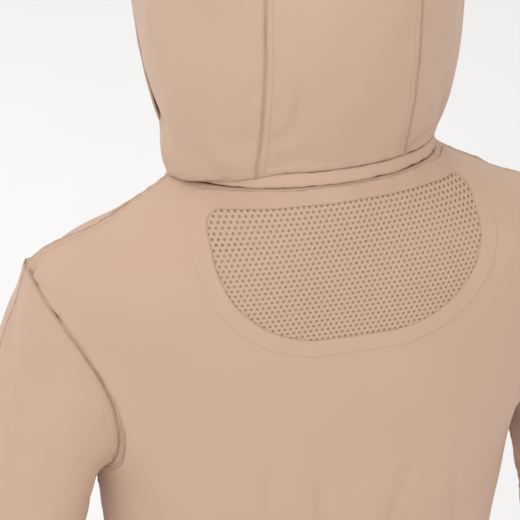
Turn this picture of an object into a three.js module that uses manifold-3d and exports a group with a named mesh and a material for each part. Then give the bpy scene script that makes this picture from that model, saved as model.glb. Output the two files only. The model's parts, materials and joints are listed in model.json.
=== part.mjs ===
// A beekeeper's suit in its worn shape: a one-piece coverall with a perforated vent panel across
// the shoulders, a front zip, ankle zips, and a hood with a face veil that folds back from a line
// behind the neck. Millimetres. The trouser hems stand on z = 0, the front faces -Y and the
// wearer's left is +X.

import * as THREE from 'three';
import { mergeVertices } from 'three/addons/utils/BufferGeometryUtils.js';
import Module from 'manifold-3d';

const wasm = await Module();
wasm.setup();

// Driving dimensions
const SEAM = 0.3; // gap kept between two pieces that are sewn edge to edge
const CLOTH = 3; // a body panel with its lining and seam allowance
const NET = 1.2; // the veil and the vent's mesh
const NECK_R = 107;
const NECK_TILT = THREE.MathUtils.degToRad(17); // the neck ring drops towards the front
const NECK_Y = -5;
const NECK_Z = 1500;
const NECK_BAND = 11.5; // height of the stand band
const COLLAR_SPREAD = 61; // how far the shoulders spread beside the neck ring, and behind it
const COLLAR_BACK = 21.7;
const SHOULDER_HALF = 234;
const SHOULDER_Z = 1430;
const ARMPIT_HALF = 188;
const ARMPIT_Z = 1240;
const ARMHOLE_BACK = THREE.MathUtils.degToRad(34); // how far the armhole reaches round the back
const ARMHOLE_FRONT = THREE.MathUtils.degToRad(38);
const CHEST_BACK = 141;
const WAIST_HALF = 172;
const WAIST_BACK = 108;
const WAIST_Z = 1045;
const WAIST_BAND = 40;
const HIP_HALF = 203;
const HIP_BACK = 133;
const HIP_Z = 900;
const FRONT_LOW_Y = -122; // the front edge is one straight line from here to the neck
const FRONT_LOW_Z = 880;
const CROTCH_Z = 790;
const THIGH_R = 100;
const KNEE_Z = 480;
const KNEE_R = 76;
const HEM_R = 64;
const ANKLE_CUFF = 40;
const WRIST_OUT = 411; // x of the wrist's outer side
const WRIST_Z = 880;
const WRIST_W = 95;
const SLEEVE_CUFF = 32;
const HOOD_TOP_Z = 1830;
const HOOD_HALF = 130;
const HOOD_BACK = 120;
const VEIL_FRONT = -190;
const CROWN_HALF = 60; // half the width of the strip over the crown
const CHIN_BAND = 26; // fabric under the veil
const VENT_HALF = 110;
const VENT_H = 110;
const VENT_DROP = 12.5; // from the neck seam down to the vent
const VENT_SHIFT = -8; // the vent sits a little to the wearer's right
const FACING = 14; // width of the bonded border round the vent
const ZIP_GAP = 18; // between the two front edges
const ZIP_LOW_Z = 905;
const ZIP_TOP_DROP = 20; // from the neck ring down to the zip's top
const TOOTH_PITCH = 16;
const CHEST_POCKET_W = 110;
const CHEST_POCKET_H = 130;
const FLAP_H = 45;
const ANKLE_ZIP = 200;

const tan = { color: 0xcbaa92, roughness: 0.82, metalness: 0 };
const tanDark = { color: 0xbd9c84, roughness: 0.85, metalness: 0 };
const meshTan = { color: 0xc3a58f, roughness: 0.9, metalness: 0 };
const elastic = { color: 0xb8977f, roughness: 0.9, metalness: 0 };
const veilBlack = { color: 0x17181a, roughness: 0.7, metalness: 0 };
const tape = { color: 0xb39178, roughness: 0.85, metalness: 0 };
const metal = { color: 0x9b9a97, roughness: 0.35, metalness: 1 };

// The coverall's own middle plane is y = 0; the suit stands centred over the origin, veil included.
const STAND_Y = 24;
const suit = new THREE.Group();
suit.position.y = STAND_Y;

function add(name, geometry, look, parent = suit) {
  const mesh = new THREE.Mesh(geometry, new THREE.MeshStandardMaterial(look));
  mesh.name = name;
  parent.add(mesh);
  return mesh;
}

const vec = (x, y, z) => new THREE.Vector3(x, y, z);
const power = (v, round) => Math.sign(v) * Math.abs(v) ** (2 / round);

// A smooth course of named sizes through its stations, read at any place between them.
function course(places, stations) {
  const keys = Object.keys(stations[0]);
  const values = stations.flatMap((s) => keys.map((k) => s[k]));
  const spline = new THREE.CubicInterpolant(places, values, keys.length);
  const [first, last] = [places[0], places[places.length - 1]];
  return (at) => {
    const v = spline.evaluate(THREE.MathUtils.clamp(at, first, last));
    return Object.fromEntries(keys.map((k, i) => [k, v[i]]));
  };
}

// One closed solid from rows of sewing points, each with its outside and its inside.
function clothSolid(rows, ring = false) {
  const cols = rows[0].length;
  const points = rows.flat().flatMap((p) => [p.out, p.in]);
  const at = (r, c, side) => 2 * (r * cols + (c % cols)) + side;
  const faces = [];
  const quad = (a, b, c, d) => faces.push(a, b, c, a, c, d);
  const spans = ring ? cols : cols - 1;
  for (let r = 0; r < rows.length - 1; r++) {
    for (let c = 0; c < spans; c++) {
      quad(at(r, c, 0), at(r, c + 1, 0), at(r + 1, c + 1, 0), at(r + 1, c, 0));
      quad(at(r, c, 1), at(r + 1, c, 1), at(r + 1, c + 1, 1), at(r, c + 1, 1));
    }
  }
  const last = rows.length - 1;
  for (let c = 0; c < spans; c++) {
    quad(at(0, c, 1), at(0, c + 1, 1), at(0, c + 1, 0), at(0, c, 0));
    quad(at(last, c, 0), at(last, c + 1, 0), at(last, c + 1, 1), at(last, c, 1));
  }
  for (let r = 0; r < last && !ring; r++) {
    quad(at(r, 0, 0), at(r + 1, 0, 0), at(r + 1, 0, 1), at(r, 0, 1));
    quad(at(r, cols - 1, 1), at(r + 1, cols - 1, 1), at(r + 1, cols - 1, 0), at(r, cols - 1, 0));
  }
  return closedGeometry(points, faces);
}

// Shared corners are merged, collapsed triangles go, and the faces are turned outwards.
function closedGeometry(points, faces) {
  const loose = new THREE.BufferGeometry().setFromPoints(points);
  loose.setIndex(faces);
  const merged = mergeVertices(loose, 1e-4);
  const index = [...merged.index.array];
  const kept = [];
  for (let i = 0; i < index.length; i += 3) {
    const [a, b, c] = index.slice(i, i + 3);
    if (a !== b && b !== c && c !== a) kept.push(a, b, c);
  }
  merged.setIndex(kept);
  return volume(merged) < 0 ? turned(merged) : merged;
}

function volume(geometry) {
  const p = geometry.attributes.position;
  const index = geometry.index.array;
  let six = 0;
  for (let i = 0; i < index.length; i += 3) {
    const [a, b, c] = [0, 1, 2].map((k) => vec(0, 0, 0).fromBufferAttribute(p, index[i + k]));
    six += a.dot(b.cross(c));
  }
  return six / 6;
}

function turned(geometry) {
  const index = [...geometry.index.array];
  for (let i = 0; i < index.length; i += 3) [index[i], index[i + 1]] = [index[i + 1], index[i]];
  geometry.setIndex(index);
  return geometry;
}

const mirrored = (geometry) => turned(geometry.clone().scale(-1, 1, 1));

// The same piece for the wearer's left (+X) and right.
function addPair(name, geometry, look) {
  add(`${name}_left`, geometry, look);
  add(`${name}_right`, mirrored(geometry), look);
}

// A point of a surface with its outward unit normal, which is measured on the whole surface, so
// that two panels that meet at a seam agree on it. At a pole the normal points up.
function onSurface(surface, u, v) {
  const step = 1e-3;
  const du = surface(u + step, v).sub(surface(u - step, v));
  const dv = surface(u, v + step).sub(surface(u, v - step));
  const normal = du.cross(dv).multiplyScalar(surface.outward);
  const pole = normal.length() < 1e-9;
  return { point: surface(u, v), normal: pole ? vec(0, 0, 1) : normal.normalize() };
}

// A layer of cloth between two heights over a surface.
function layer(surface, u, v, top, bottom) {
  const { point, normal } = onSurface(surface, u, v);
  return {
    out: point.clone().addScaledVector(normal, top),
    in: point.clone().addScaledVector(normal, bottom),
  };
}

function patch(surface, us, vs, top, bottom, ring = false) {
  const rows = vs.map((v) => us.map((u) => layer(surface, u, v, top, bottom)));
  return clothSolid(rows, ring);
}

const steps = (from, to, count) =>
  Array.from({ length: count + 1 }, (_, i) => from + ((to - from) * i) / count);

// Solid booleans
function toManifold(geometry) {
  const bare = new THREE.BufferGeometry();
  bare.setAttribute('position', geometry.attributes.position);
  bare.setIndex(geometry.index);
  const merged = mergeVertices(bare, 1e-4);
  const vertProperties = new Float32Array(merged.attributes.position.array);
  const triVerts = new Uint32Array(merged.index.array);
  return new wasm.Manifold(new wasm.Mesh({ numProp: 3, vertProperties, triVerts }));
}

function toGeometry(manifold) {
  const mesh = manifold.getMesh();
  const geometry = new THREE.BufferGeometry();
  geometry.setAttribute('position', new THREE.BufferAttribute(mesh.vertProperties, 3));
  geometry.setIndex(new THREE.BufferAttribute(mesh.triVerts, 1));
  return geometry;
}

const boxFrom = (x0, x1, y0, y1, z0, z1) =>
  new THREE.BoxGeometry(x1 - x0, y1 - y0, z1 - z0).translate((x0 + x1) / 2, (y0 + y1) / 2, (z0 + z1) / 2);

// The body: a course of rounded sections from the waist to the neck ring. turn is 0 at the
// centre back, a quarter turn at the wearer's left side and half a turn at the front.
const neckRise = NECK_R * Math.sin(NECK_TILT);
const neckReach = NECK_R * Math.cos(NECK_TILT);
const neckFront = { y: NECK_Y - neckReach, z: NECK_Z - neckRise };
const frontLean = (neckFront.y - FRONT_LOW_Y) / (neckFront.z - FRONT_LOW_Z);
const frontY = (z) => FRONT_LOW_Y + frontLean * (z - FRONT_LOW_Z);

const section = (sideZ, backZ, frontZ, half, back, round, midY = 0) => ({
  sideZ, backZ, frontZ, half, back, round, midY, front: frontY(frontZ),
});

const BODY_LOW = 0;
const ARMPIT = 2;
const SHOULDER = 4;
const NECK = 6;
const bodyCourse = course([BODY_LOW, 1, ARMPIT, 3, SHOULDER, 5, NECK], [
  section(WAIST_Z, WAIST_Z, WAIST_Z, WAIST_HALF, WAIST_BACK, 2.2),
  section(1150, 1150, 1150, 178, 117, 2.25),
  section(ARMPIT_Z, ARMPIT_Z, ARMPIT_Z, ARMPIT_HALF, 129, 2.35),
  section(1335, 1342, 1330, 212, CHEST_BACK, 2.4),
  section(SHOULDER_Z, SHOULDER_Z + 12, SHOULDER_Z - 28, SHOULDER_HALF, 135, 2.2),
  section(1466, 1493, 1441, NECK_R + COLLAR_SPREAD, NECK_Y + neckReach + COLLAR_BACK, 2.1),
  section(NECK_Z, NECK_Z + neckRise, NECK_Z - neckRise, NECK_R, NECK_Y + neckReach, 2, NECK_Y),
]);

function body(turn, at) {
  const s = bodyCourse(at);
  const across = power(Math.sin(turn), s.round);
  const along = power(Math.cos(turn), s.round);
  const deep = along > 0 ? s.back - s.midY : s.midY - s.front;
  const rise = along > 0 ? s.backZ - s.sideZ : s.sideZ - s.frontZ;
  return vec(s.half * across, s.midY + deep * along, s.sideZ + rise * along);
}
body.outward = -1;

// The sleeve: rings between an inner and an outer line, from the armhole to the wrist.
const WRIST = 1;
const wristDrop = WRIST_W * Math.sin(NECK_TILT);
const wristReach = WRIST_W * Math.cos(NECK_TILT);
const sleeveCourse = course([0, 0.3, 0.55, 0.78, WRIST], [
  { outX: SHOULDER_HALF, outZ: SHOULDER_Z, inX: ARMPIT_HALF, inZ: ARMPIT_Z, deep: 84, y: 1 },
  { outX: 297, outZ: 1250, inX: 196, inZ: 1190, deep: 84, y: 0 },
  { outX: 344, outZ: 1100, inX: 226, inZ: 1063, deep: 70, y: -8 },
  { outX: 379, outZ: 985, inX: 268, inZ: 954, deep: 60, y: -30 },
  { outX: WRIST_OUT, outZ: WRIST_Z, inX: WRIST_OUT - wristReach, inZ: WRIST_Z - wristDrop, deep: 46, y: -58 },
]);

// round is 0 at the armpit, a quarter turn at the back and half a turn at the shoulder.
function sleeveTube(round, at) {
  const s = sleeveCourse(at);
  const out = (1 - Math.cos(round)) / 2;
  return vec(
    THREE.MathUtils.lerp(s.inX, s.outX, out),
    s.y + s.deep * Math.sin(round),
    THREE.MathUtils.lerp(s.inZ, s.outZ, out),
  );
}
sleeveTube.outward = 1;

function armholePlace(round) {
  const reach = Math.sin(round) > 0 ? ARMHOLE_BACK : ARMHOLE_FRONT;
  const middle = (ARMPIT + SHOULDER) / 2;
  return {
    turn: Math.PI / 2 - reach * Math.sin(round),
    at: middle - ((SHOULDER - ARMPIT) / 2) * Math.cos(round),
  };
}

// The armhole seam is mitred: both pieces end on one plane, a little to each side of it.
const ARMHOLE_GAP = 0.8;
function armholeSeam(round, side) {
  const place = armholePlace(round);
  const { point, normal } = onSurface(body, place.turn, place.at);
  const tube = onSurface(sleeveTube, round, 0.16);
  const mitre = normal.clone().add(tube.normal).normalize();
  const before = armholePlace(round - 0.01);
  const after = armholePlace(round + 0.01);
  const along = body(after.turn, after.at).sub(body(before.turn, before.at));
  const across = along.cross(mitre).normalize();
  if (across.dot(tube.point.sub(point)) < 0) across.negate();
  const thick = CLOTH * Math.min(1 / Math.max(mitre.dot(normal), 0.1), 1.4);
  const out = point.addScaledVector(across, (side * ARMHOLE_GAP) / 2);
  return { out, in: out.clone().addScaledVector(mitre, -thick) };
}

const ARM_SPANS = 8;
const armRounds = steps(0, Math.PI, ARM_SPANS);
const bodyRows = [
  ...steps(BODY_LOW, ARMPIT, 3).slice(0, -1).map((at) => ({ at })),
  ...armRounds.map((round) => ({ at: armholePlace(round).at, round })),
  ...steps(SHOULDER, NECK, 3).slice(1).map((at) => ({ at })),
];
const bandTop = WAIST_Z + WAIST_BAND / 2;
const bandLow = WAIST_Z - WAIST_BAND / 2;

function seamTurn(at) {
  return SEAM / 2 / bodyCourse(at).half;
}

// The lowest row of a body panel stops just above the waist band.
function bodyPoint(turn, at, top = 0, bottom = -CLOTH) {
  const p = layer(body, turn, at, top, bottom);
  if (at === BODY_LOW) {
    p.out.z = bandTop + SEAM;
    p.in.z = bandTop + SEAM;
  }
  return p;
}

// From the middle (from = 0) to the side seam or armhole (to = 1).
function bodyHalfRow(row, from, shares, backHalf, top = 0, bottom = -CLOTH) {
  const sign = backHalf ? 1 : -1;
  const place = row.round === undefined ? undefined : armholePlace(sign * row.round);
  const inArmhole = row.round !== undefined && row.round > 0 && row.round < Math.PI;
  const edge = inArmhole ? place.turn : Math.PI / 2 - sign * seamTurn(row.at);
  return shares.map((share) => {
    if (share === 1 && inArmhole) return armholeSeam(sign * row.round, -1);
    return bodyPoint(THREE.MathUtils.lerp(from, edge, share), row.at, top, bottom);
  });
}

const flipX = (p) => ({ out: p.out.clone().setX(-p.out.x), in: p.in.clone().setX(-p.in.x) });

function backRows(top = 0, bottom = -CLOTH) {
  const shares = steps(0, 1, 7);
  return bodyRows.map((row) => {
    const half = bodyHalfRow(row, 0, shares, true, top, bottom);
    return [...half.slice(1).reverse().map(flipX), ...half];
  });
}

function frontPanel() {
  const shares = steps(0, 1, 7);
  const rows = bodyRows.map((row) => {
    const s = bodyCourse(row.at);
    const zipEdge = Math.PI - Math.asin((ZIP_GAP / 2 / s.half) ** (s.round / 2));
    return bodyHalfRow(row, zipEdge, shares, false);
  });
  return clothSolid(rows);
}

// The vent panel's outline, drawn flat: a straight top with small corners and wide, deep lower
// corners, so that it reads as a D lying on its back.
const VENT_TOP_CORNER = 14;
const VENT_LOW_CORNER = { wide: 85, high: 80 };
function ventShape(grow) {
  const half = VENT_HALF + grow;
  const low = -VENT_H - grow;
  const corner = VENT_TOP_CORNER + Math.max(grow, 0);
  const wide = VENT_LOW_CORNER.wide + grow;
  const high = VENT_LOW_CORNER.high + grow;
  const shape = new THREE.Shape();
  shape.moveTo(-half + corner, grow);
  shape.lineTo(half - corner, grow);
  shape.absarc(half - corner, grow - corner, corner, Math.PI / 2, 0, true);
  shape.absellipse(half - wide, low + high, wide, high, 0, -Math.PI / 2, true, 0);
  shape.absellipse(-half + wide, low + high, wide, high, -Math.PI / 2, -Math.PI, true, 0);
  shape.absarc(-half + corner, grow - corner, corner, Math.PI, Math.PI / 2, true);
  return shape;
}

// The vent is cut square to the slope of the upper back, from its top edge down.
const VENT_LEAN = THREE.MathUtils.degToRad(18.6);
const VENT_TOP_BACK = 6; // the vent's top edge lies this far behind the neck ring
function ventPrism(grow) {
  const depth = 120;
  const prism = new THREE.ExtrudeGeometry(ventShape(grow), { depth, bevelEnabled: false, curveSegments: 5 });
  const indexed = indexedCopy(prism);
  indexed.translate(0, 0, -depth * 0.6).rotateX(Math.PI / 2).scale(1, -1, 1).rotateX(VENT_LEAN);
  indexed.translate(VENT_SHIFT, NECK_Y + neckReach + VENT_TOP_BACK, NECK_Z + neckRise - VENT_DROP);
  return toManifold(volume(indexed) < 0 ? turned(indexed) : indexed);
}

function indexedCopy(geometry) {
  const bare = new THREE.BufferGeometry();
  bare.setAttribute('position', geometry.attributes.position.clone());
  if (geometry.index) bare.setIndex(geometry.index.clone());
  return mergeVertices(bare, 1e-4);
}

function addBodyPanels() {
  const back = toManifold(clothSolid(backRows()));
  add('back_panel', toGeometry(back.subtract(ventPrism(0))), tan);
  const net = toManifold(clothSolid(backRows(-0.3, -0.3 - NET)));
  add('vent_mesh', toGeometry(net.intersect(ventPrism(-SEAM))), meshTan);
  const border = toManifold(clothSolid(backRows(1.8, SEAM)));
  add('vent_facing', toGeometry(border.intersect(ventPrism(FACING)).subtract(ventPrism(-3))), tan);
  addPair('front_panel', frontPanel(), tan);
}

// Each sleeve has a back and a front panel, joined under the arm and over the shoulder.
const SLEEVE_SEAM = 0.004; // radians from each seam to a panel's edge
function sleevePanel(side) {
  const rounds = armRounds.map((r) => side * THREE.MathUtils.clamp(r, SLEEVE_SEAM, Math.PI - SLEEVE_SEAM));
  const places = [0.06, 0.14, 0.22, 0.32, 0.44, 0.56, 0.68, 0.8, 0.9, WRIST];
  const settle = 0.22;
  const rows = places.map((at) =>
    rounds.map((round) => {
      const tube = layer(sleeveTube, round, at, 0, -2.5);
      const blend = THREE.MathUtils.smoothstep(at, 0, settle);
      if (blend === 1) return tube;
      const seam = armholeSeam(round, 1);
      return { out: seam.out.lerp(tube.out, blend), in: seam.in.lerp(tube.in, blend) };
    }),
  );
  return clothSolid([rounds.map((round) => armholeSeam(round, 1)), ...rows]);
}

function addSleeves() {
  addPair('sleeve_back', sleevePanel(1), tan);
  addPair('sleeve_front', sleevePanel(-1), tan);
}

// Sleeve cuffs: gathered rings below the wrists.
const armDown = vec(Math.sin(NECK_TILT), -0.1, -Math.cos(NECK_TILT)).normalize();
function cuffTube(round, along) {
  const middle = sleeveTube(0, WRIST).add(sleeveTube(Math.PI, WRIST)).multiplyScalar(0.5);
  const spread = THREE.MathUtils.lerp(0.985, 0.8, along / SLEEVE_CUFF);
  return sleeveTube(round, WRIST).sub(middle).multiplyScalar(spread).add(middle).addScaledVector(armDown, along);
}
cuffTube.outward = 1;

function addSleeveCuffs() {
  const rounds = steps(0, 2 * Math.PI, 16).slice(0, -1);
  addPair('sleeve_cuff', patch(cuffTube, rounds, [3 * SEAM, 14, SLEEVE_CUFF], 0, -2.5, true), elastic);
}

// The waist band closes the body above the trousers and opens at the front for the zip.
function waist(turn, z) {
  return body(turn, BODY_LOW).add(vec(0, frontLean * (z - WAIST_Z), z - WAIST_Z));
}
waist.outward = -1;

function addWaist() {
  const s = bodyCourse(BODY_LOW);
  const zipEdge = Math.PI - Math.asin((ZIP_GAP / 2 / s.half) ** (s.round / 2));
  add('waist_band', patch(waist, steps(-zipEdge, zipEdge, 32), [bandLow, bandTop], 0, -CLOTH), tanDark);
  const inside = -(CLOTH + SEAM);
  const edge = 4;
  const across = steps(-Math.PI / 2, Math.PI / 2, 16);
  add('waist_elastic', patch(waist, across, [bandLow + edge, bandTop - edge], inside, inside - 1.2), elastic);
}

// The trousers. Above the crotch each leg is half of the hips, open along the middle plane; below
// it the two edges of the cloth meet along the inseam. share runs from the front edge (0) round
// the outer side to the back edge (1).
const hipCourse = course([CROTCH_Z, HIP_Z, WAIST_Z], [
  { half: 200, back: 128 },
  { half: HIP_HALF, back: HIP_BACK },
  { half: WAIST_HALF, back: WAIST_BACK },
]);
const legCourse = course([0, 300, KNEE_Z, 640, CROTCH_Z], [
  { x: 130, y: 12, wide: HEM_R, deep: HEM_R + 6 },
  { x: 126, y: 9, wide: 70, deep: 78 },
  { x: 120, y: 0, wide: KNEE_R, deep: KNEE_R + 8 },
  { x: 112, y: 4, wide: 84, deep: 98 },
  { x: THIGH_R, y: 5, wide: THIGH_R, deep: 118 },
]);
const FLY_LOW_Z = ZIP_LOW_Z - 12;
const LEG_ROUND = 2.2;

function legRing(share, z) {
  const s = legCourse(z);
  const turn = 2 * Math.PI * share;
  return vec(s.x - s.wide * power(Math.cos(turn), LEG_ROUND), s.y - s.deep * power(Math.sin(turn), LEG_ROUND), z);
}
legRing.outward = 1;

function leg(share, z) {
  const s = hipCourse(THREE.MathUtils.clamp(z, CROTCH_Z, WAIST_Z));
  const turn = Math.PI * share;
  const flyEdge = (ZIP_GAP / 2) * THREE.MathUtils.smoothstep(z, FLY_LOW_Z - 25, FLY_LOW_Z);
  const edge = Math.max(share < 0.5 ? flyEdge : 0, SEAM / 2);
  const middle = (s.back + frontY(z)) / 2;
  const deep = (s.back - frontY(z)) / 2;
  const hips = vec(
    edge + (s.half - edge) * power(Math.sin(turn), LEG_ROUND),
    middle - deep * power(Math.cos(turn), LEG_ROUND),
    z,
  );
  const fall = THREE.MathUtils.clamp((HIP_Z - z) / (HIP_Z - CROTCH_Z), 0, 1);
  const tube = legRing(share, z).add(vec(SEAM / 2, 1.2 * SEAM * (share - 0.5), 0));
  return hips.lerp(tube, fall ** 3);
}
leg.outward = 1;

// Each leg has a front and a back panel with seams down the inside and the outside. Patches and
// pockets on a leg share its grid, so that they lie flat on its facets.
const LEG_SEAM = 0.0005; // share of the way round from the outer seam to a panel's edge
function addLegs() {
  const rise = [0, 0.3, 0.5, 0.66, 0.8, 0.9, 0.96, 1].map((f) => HIP_Z - f * (HIP_Z - CROTCH_Z));
  const knee = [KNEE_Z + 80, KNEE_Z, KNEE_Z - 80];
  const levels = [bandLow - SEAM, 950, ...rise, 730, 640, ...knee, 280, ANKLE_CUFF + SEAM];
  const shares = steps(0, 1, 20);
  const frontShares = [...shares.slice(0, 10), 0.5 - LEG_SEAM];
  const backShares = [0.5 + LEG_SEAM, ...shares.slice(11)];
  addPair('leg_front', patch(leg, frontShares, levels, 0, -CLOTH), tan);
  addPair('leg_back', patch(leg, backShares, levels, 0, -CLOTH), tan);
  addPair('ankle_cuff', patch(legRing, shares.slice(0, -1), [0, ANKLE_CUFF], -0.4, -0.4 - CLOTH, true), tanDark);
  addPair('knee_patch', patch(leg, shares.slice(3, 8), knee, 2.2, 0.5), tanDark);
  addPair('hip_pocket', patch(leg, shares.slice(6, 10), levels.slice(1, 5), 2.8, 0.5), tan);
}

// The hood: a course of sections from the neck ring to the crown.
const HOOD_LOW = 0;
const CROWN = 8;
const hoodStart = NECK_BAND + SEAM;
const neckAxis = vec(0, -Math.sin(NECK_TILT), Math.cos(NECK_TILT));
const hoodRing = vec(0, NECK_Y, NECK_Z).addScaledVector(neckAxis, hoodStart);
const hoodZ = (share) => THREE.MathUtils.lerp(NECK_Z, HOOD_TOP_Z, share);
const hoodSection = (share, tilt, half, back, front, round = 2.1) => ({
  sideZ: hoodZ(share), backZ: hoodZ(share) + tilt, frontZ: hoodZ(share) - tilt,
  half, back, front, round, midY: (back + front) / 2,
});
const hoodCourse = course([HOOD_LOW, 1, 2, 3, 4, 5, 6, 7, CROWN], [
  {
    sideZ: hoodRing.z, backZ: hoodRing.z + neckRise, frontZ: hoodRing.z - neckRise,
    half: NECK_R, back: hoodRing.y + neckReach, front: hoodRing.y - neckReach, round: 2, midY: hoodRing.y,
  },
  hoodSection(0.15, 24, 118, 103, -134),
  hoodSection(0.31, 11, 126, 114, -170),
  hoodSection(0.5, 0, HOOD_HALF, HOOD_BACK, VEIL_FRONT),
  hoodSection(0.68, 0, 127, 114, VEIL_FRONT + 2),
  hoodSection(0.83, 0, 111, 92, -166),
  hoodSection(0.935, 0, 80, 56, -130),
  hoodSection(0.983, 0, 42, 12, -86),
  hoodSection(1, 0, 0, -37, -37),
]);

function hood(turn, level) {
  const s = hoodCourse(level);
  const across = power(Math.sin(turn), s.round);
  const along = power(Math.cos(turn), s.round);
  const deep = along > 0 ? s.back - s.midY : s.midY - s.front;
  const rise = along > 0 ? s.backZ - s.sideZ : s.sideZ - s.frontZ;
  return vec(s.half * across, s.midY + deep * along, s.sideZ + rise * along);
}
hood.outward = -1;

function hoodShell(top, bottom) {
  const turns = steps(0, 2 * Math.PI, 28).slice(0, -1);
  const levels = [HOOD_LOW, 0.5, 1, 2, 3, 4, 4.7, 5.4, 6, 6.6, 7.2, CROWN];
  return toManifold(patch(hood, turns, levels, top, bottom, true));
}

// The face opening's plane leans back a little; the chin plane is level with the neck ring.
const FACE_LOW = vec(0, -45, NECK_Z + 12);
const FACE_LEAN = THREE.MathUtils.degToRad(9);
const FAR = 500;

// A slab square to the face opening's plane: from and to are measured backwards from that plane.
function faceSlab(from, to) {
  const slab = boxFrom(-FAR, FAR, from, to, -FAR, FAR).rotateX(FACE_LEAN);
  return toManifold(slab.translate(FACE_LOW.x, FACE_LOW.y, FACE_LOW.z));
}

// A slab level with the neck ring: from and to are heights above the hood's lower edge.
function chinSlab(from, to) {
  const slab = boxFrom(-FAR, FAR, -FAR, FAR, from, to).rotateX(NECK_TILT);
  return toManifold(slab.translate(hoodRing.x, hoodRing.y, hoodRing.z));
}

const levelSlab = (low, high) => toManifold(boxFrom(-FAR, FAR, -FAR, FAR, low, high));

const BINDING_HALF = 9;
const WIRE = 3;

function addHood() {
  const fabric = hoodShell(0, -CLOTH);
  const behind = fabric.intersect(faceSlab(SEAM, FAR));
  const strip = toManifold(boxFrom(-CROWN_HALF, CROWN_HALF, -FAR, FAR, 0, 2 * HOOD_TOP_Z));
  const side = toManifold(boxFrom(CROWN_HALF + SEAM, FAR, -FAR, FAR, 0, 2 * HOOD_TOP_Z));
  add('hood_centre_panel', toGeometry(behind.intersect(strip)), tan);
  addPair('hood_side', toGeometry(behind.intersect(side)), tan);
  const ahead = faceSlab(-FAR, 0);
  add('chin_band', toGeometry(fabric.intersect(ahead).intersect(chinSlab(-FAR, CHIN_BAND))), tan);
  const veil = hoodShell(0, -NET).intersect(ahead).intersect(chinSlab(CHIN_BAND + SEAM, 2 * FAR));
  add('veil_screen', toGeometry(veil), veilBlack);

  const edging = hoodShell(2, 0.4);
  const arch = edging.intersect(faceSlab(-BINDING_HALF, BINDING_HALF)).intersect(chinSlab(CHIN_BAND, 2 * FAR));
  add('veil_binding', toGeometry(arch), tanDark);
  const hem = edging.intersect(faceSlab(-FAR, -BINDING_HALF - SEAM));
  add('veil_hem', toGeometry(hem.intersect(chinSlab(CHIN_BAND - 6, CHIN_BAND + 6))), tanDark);
  const brimLow = hoodZ(0.8);
  const brim = hoodShell(4.3, 2.3).intersect(faceSlab(-62, BINDING_HALF)).intersect(levelSlab(brimLow, FAR * 4));
  add('hood_brim', toGeometry(brim), tan);

  const inside = -(NET + 0.4);
  const wires = hoodShell(inside, inside - WIRE).intersect(faceSlab(-FAR, -3));
  for (const [name, share] of [['lower', 0.42], ['upper', 0.72]]) {
    const middle = hoodZ(share);
    add(`veil_hoop_${name}`, toGeometry(wires.intersect(levelSlab(middle - WIRE / 2, middle + WIRE / 2))), metal);
  }
}

// Pieces round the neck, on rings square to the neck's axis.
function neckTube(turn, up) {
  return vec(NECK_R * Math.sin(turn), NECK_R * Math.cos(turn), up);
}
neckTube.outward = -1;

const neckFrame = new THREE.Group();
neckFrame.position.set(0, NECK_Y, NECK_Z);
neckFrame.rotation.x = NECK_TILT;
suit.add(neckFrame);

const NECK_ZIP_TURN = THREE.MathUtils.degToRad(105);
const NECK_ZIP_LOW = 1.5;
const NECK_ZIP_HIGH = 10.5;
const NECK_ZIP_TOP = 2;

function addNeck() {
  const turns = steps(0, 2 * Math.PI, 32).slice(0, -1);
  add('neck_band', patch(neckTube, turns, [SEAM, NECK_BAND], 0, -2.5, true), tan, neckFrame);
  const front = steps(NECK_ZIP_TURN, 2 * Math.PI - NECK_ZIP_TURN, 20);
  add('neck_zip', patch(neckTube, front, [NECK_ZIP_LOW, NECK_ZIP_HIGH], NECK_ZIP_TOP, 0.4), tape, neckFrame);

  const middle = (NECK_ZIP_LOW + NECK_ZIP_HIGH) / 2;
  const end = new THREE.Group();
  end.rotation.z = -(NECK_ZIP_TURN + THREE.MathUtils.degToRad(5));
  neckFrame.add(end);
  const face = NECK_R + NECK_ZIP_TOP + SEAM;
  const runnerFront = face + 2.4;
  add('neck_slider', boxFrom(-6, 6, face, runnerFront, middle - 4, middle + 4), metal, end);
  const pullY = runnerFront + PULL_GAP;
  add('neck_pull', boxFrom(0, 15, pullY, pullY + PULL_T, middle - 3, middle + 3), metal, end);
}

// The front zip lies in a frame whose z runs up the straight front edge and whose -y faces out.
const frontFrame = new THREE.Group();
frontFrame.position.set(0, FRONT_LOW_Y, FRONT_LOW_Z);
frontFrame.rotation.x = -Math.atan(frontLean);
suit.add(frontFrame);

const frontLength = (neckFront.z - FRONT_LOW_Z) / Math.cos(Math.atan(frontLean));
const zipLow = ZIP_LOW_Z - FRONT_LOW_Z;
const zipHigh = frontLength - ZIP_TOP_DROP - 14;
const TAPE_Y = CLOTH + 0.7; // clear behind the front edges
const TAPE_T = 1.4;
const TAPE_W = 12.5;
const TOOTH_ROOT = 3.5;
const TOOTH_TIP = 1.2;

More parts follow.
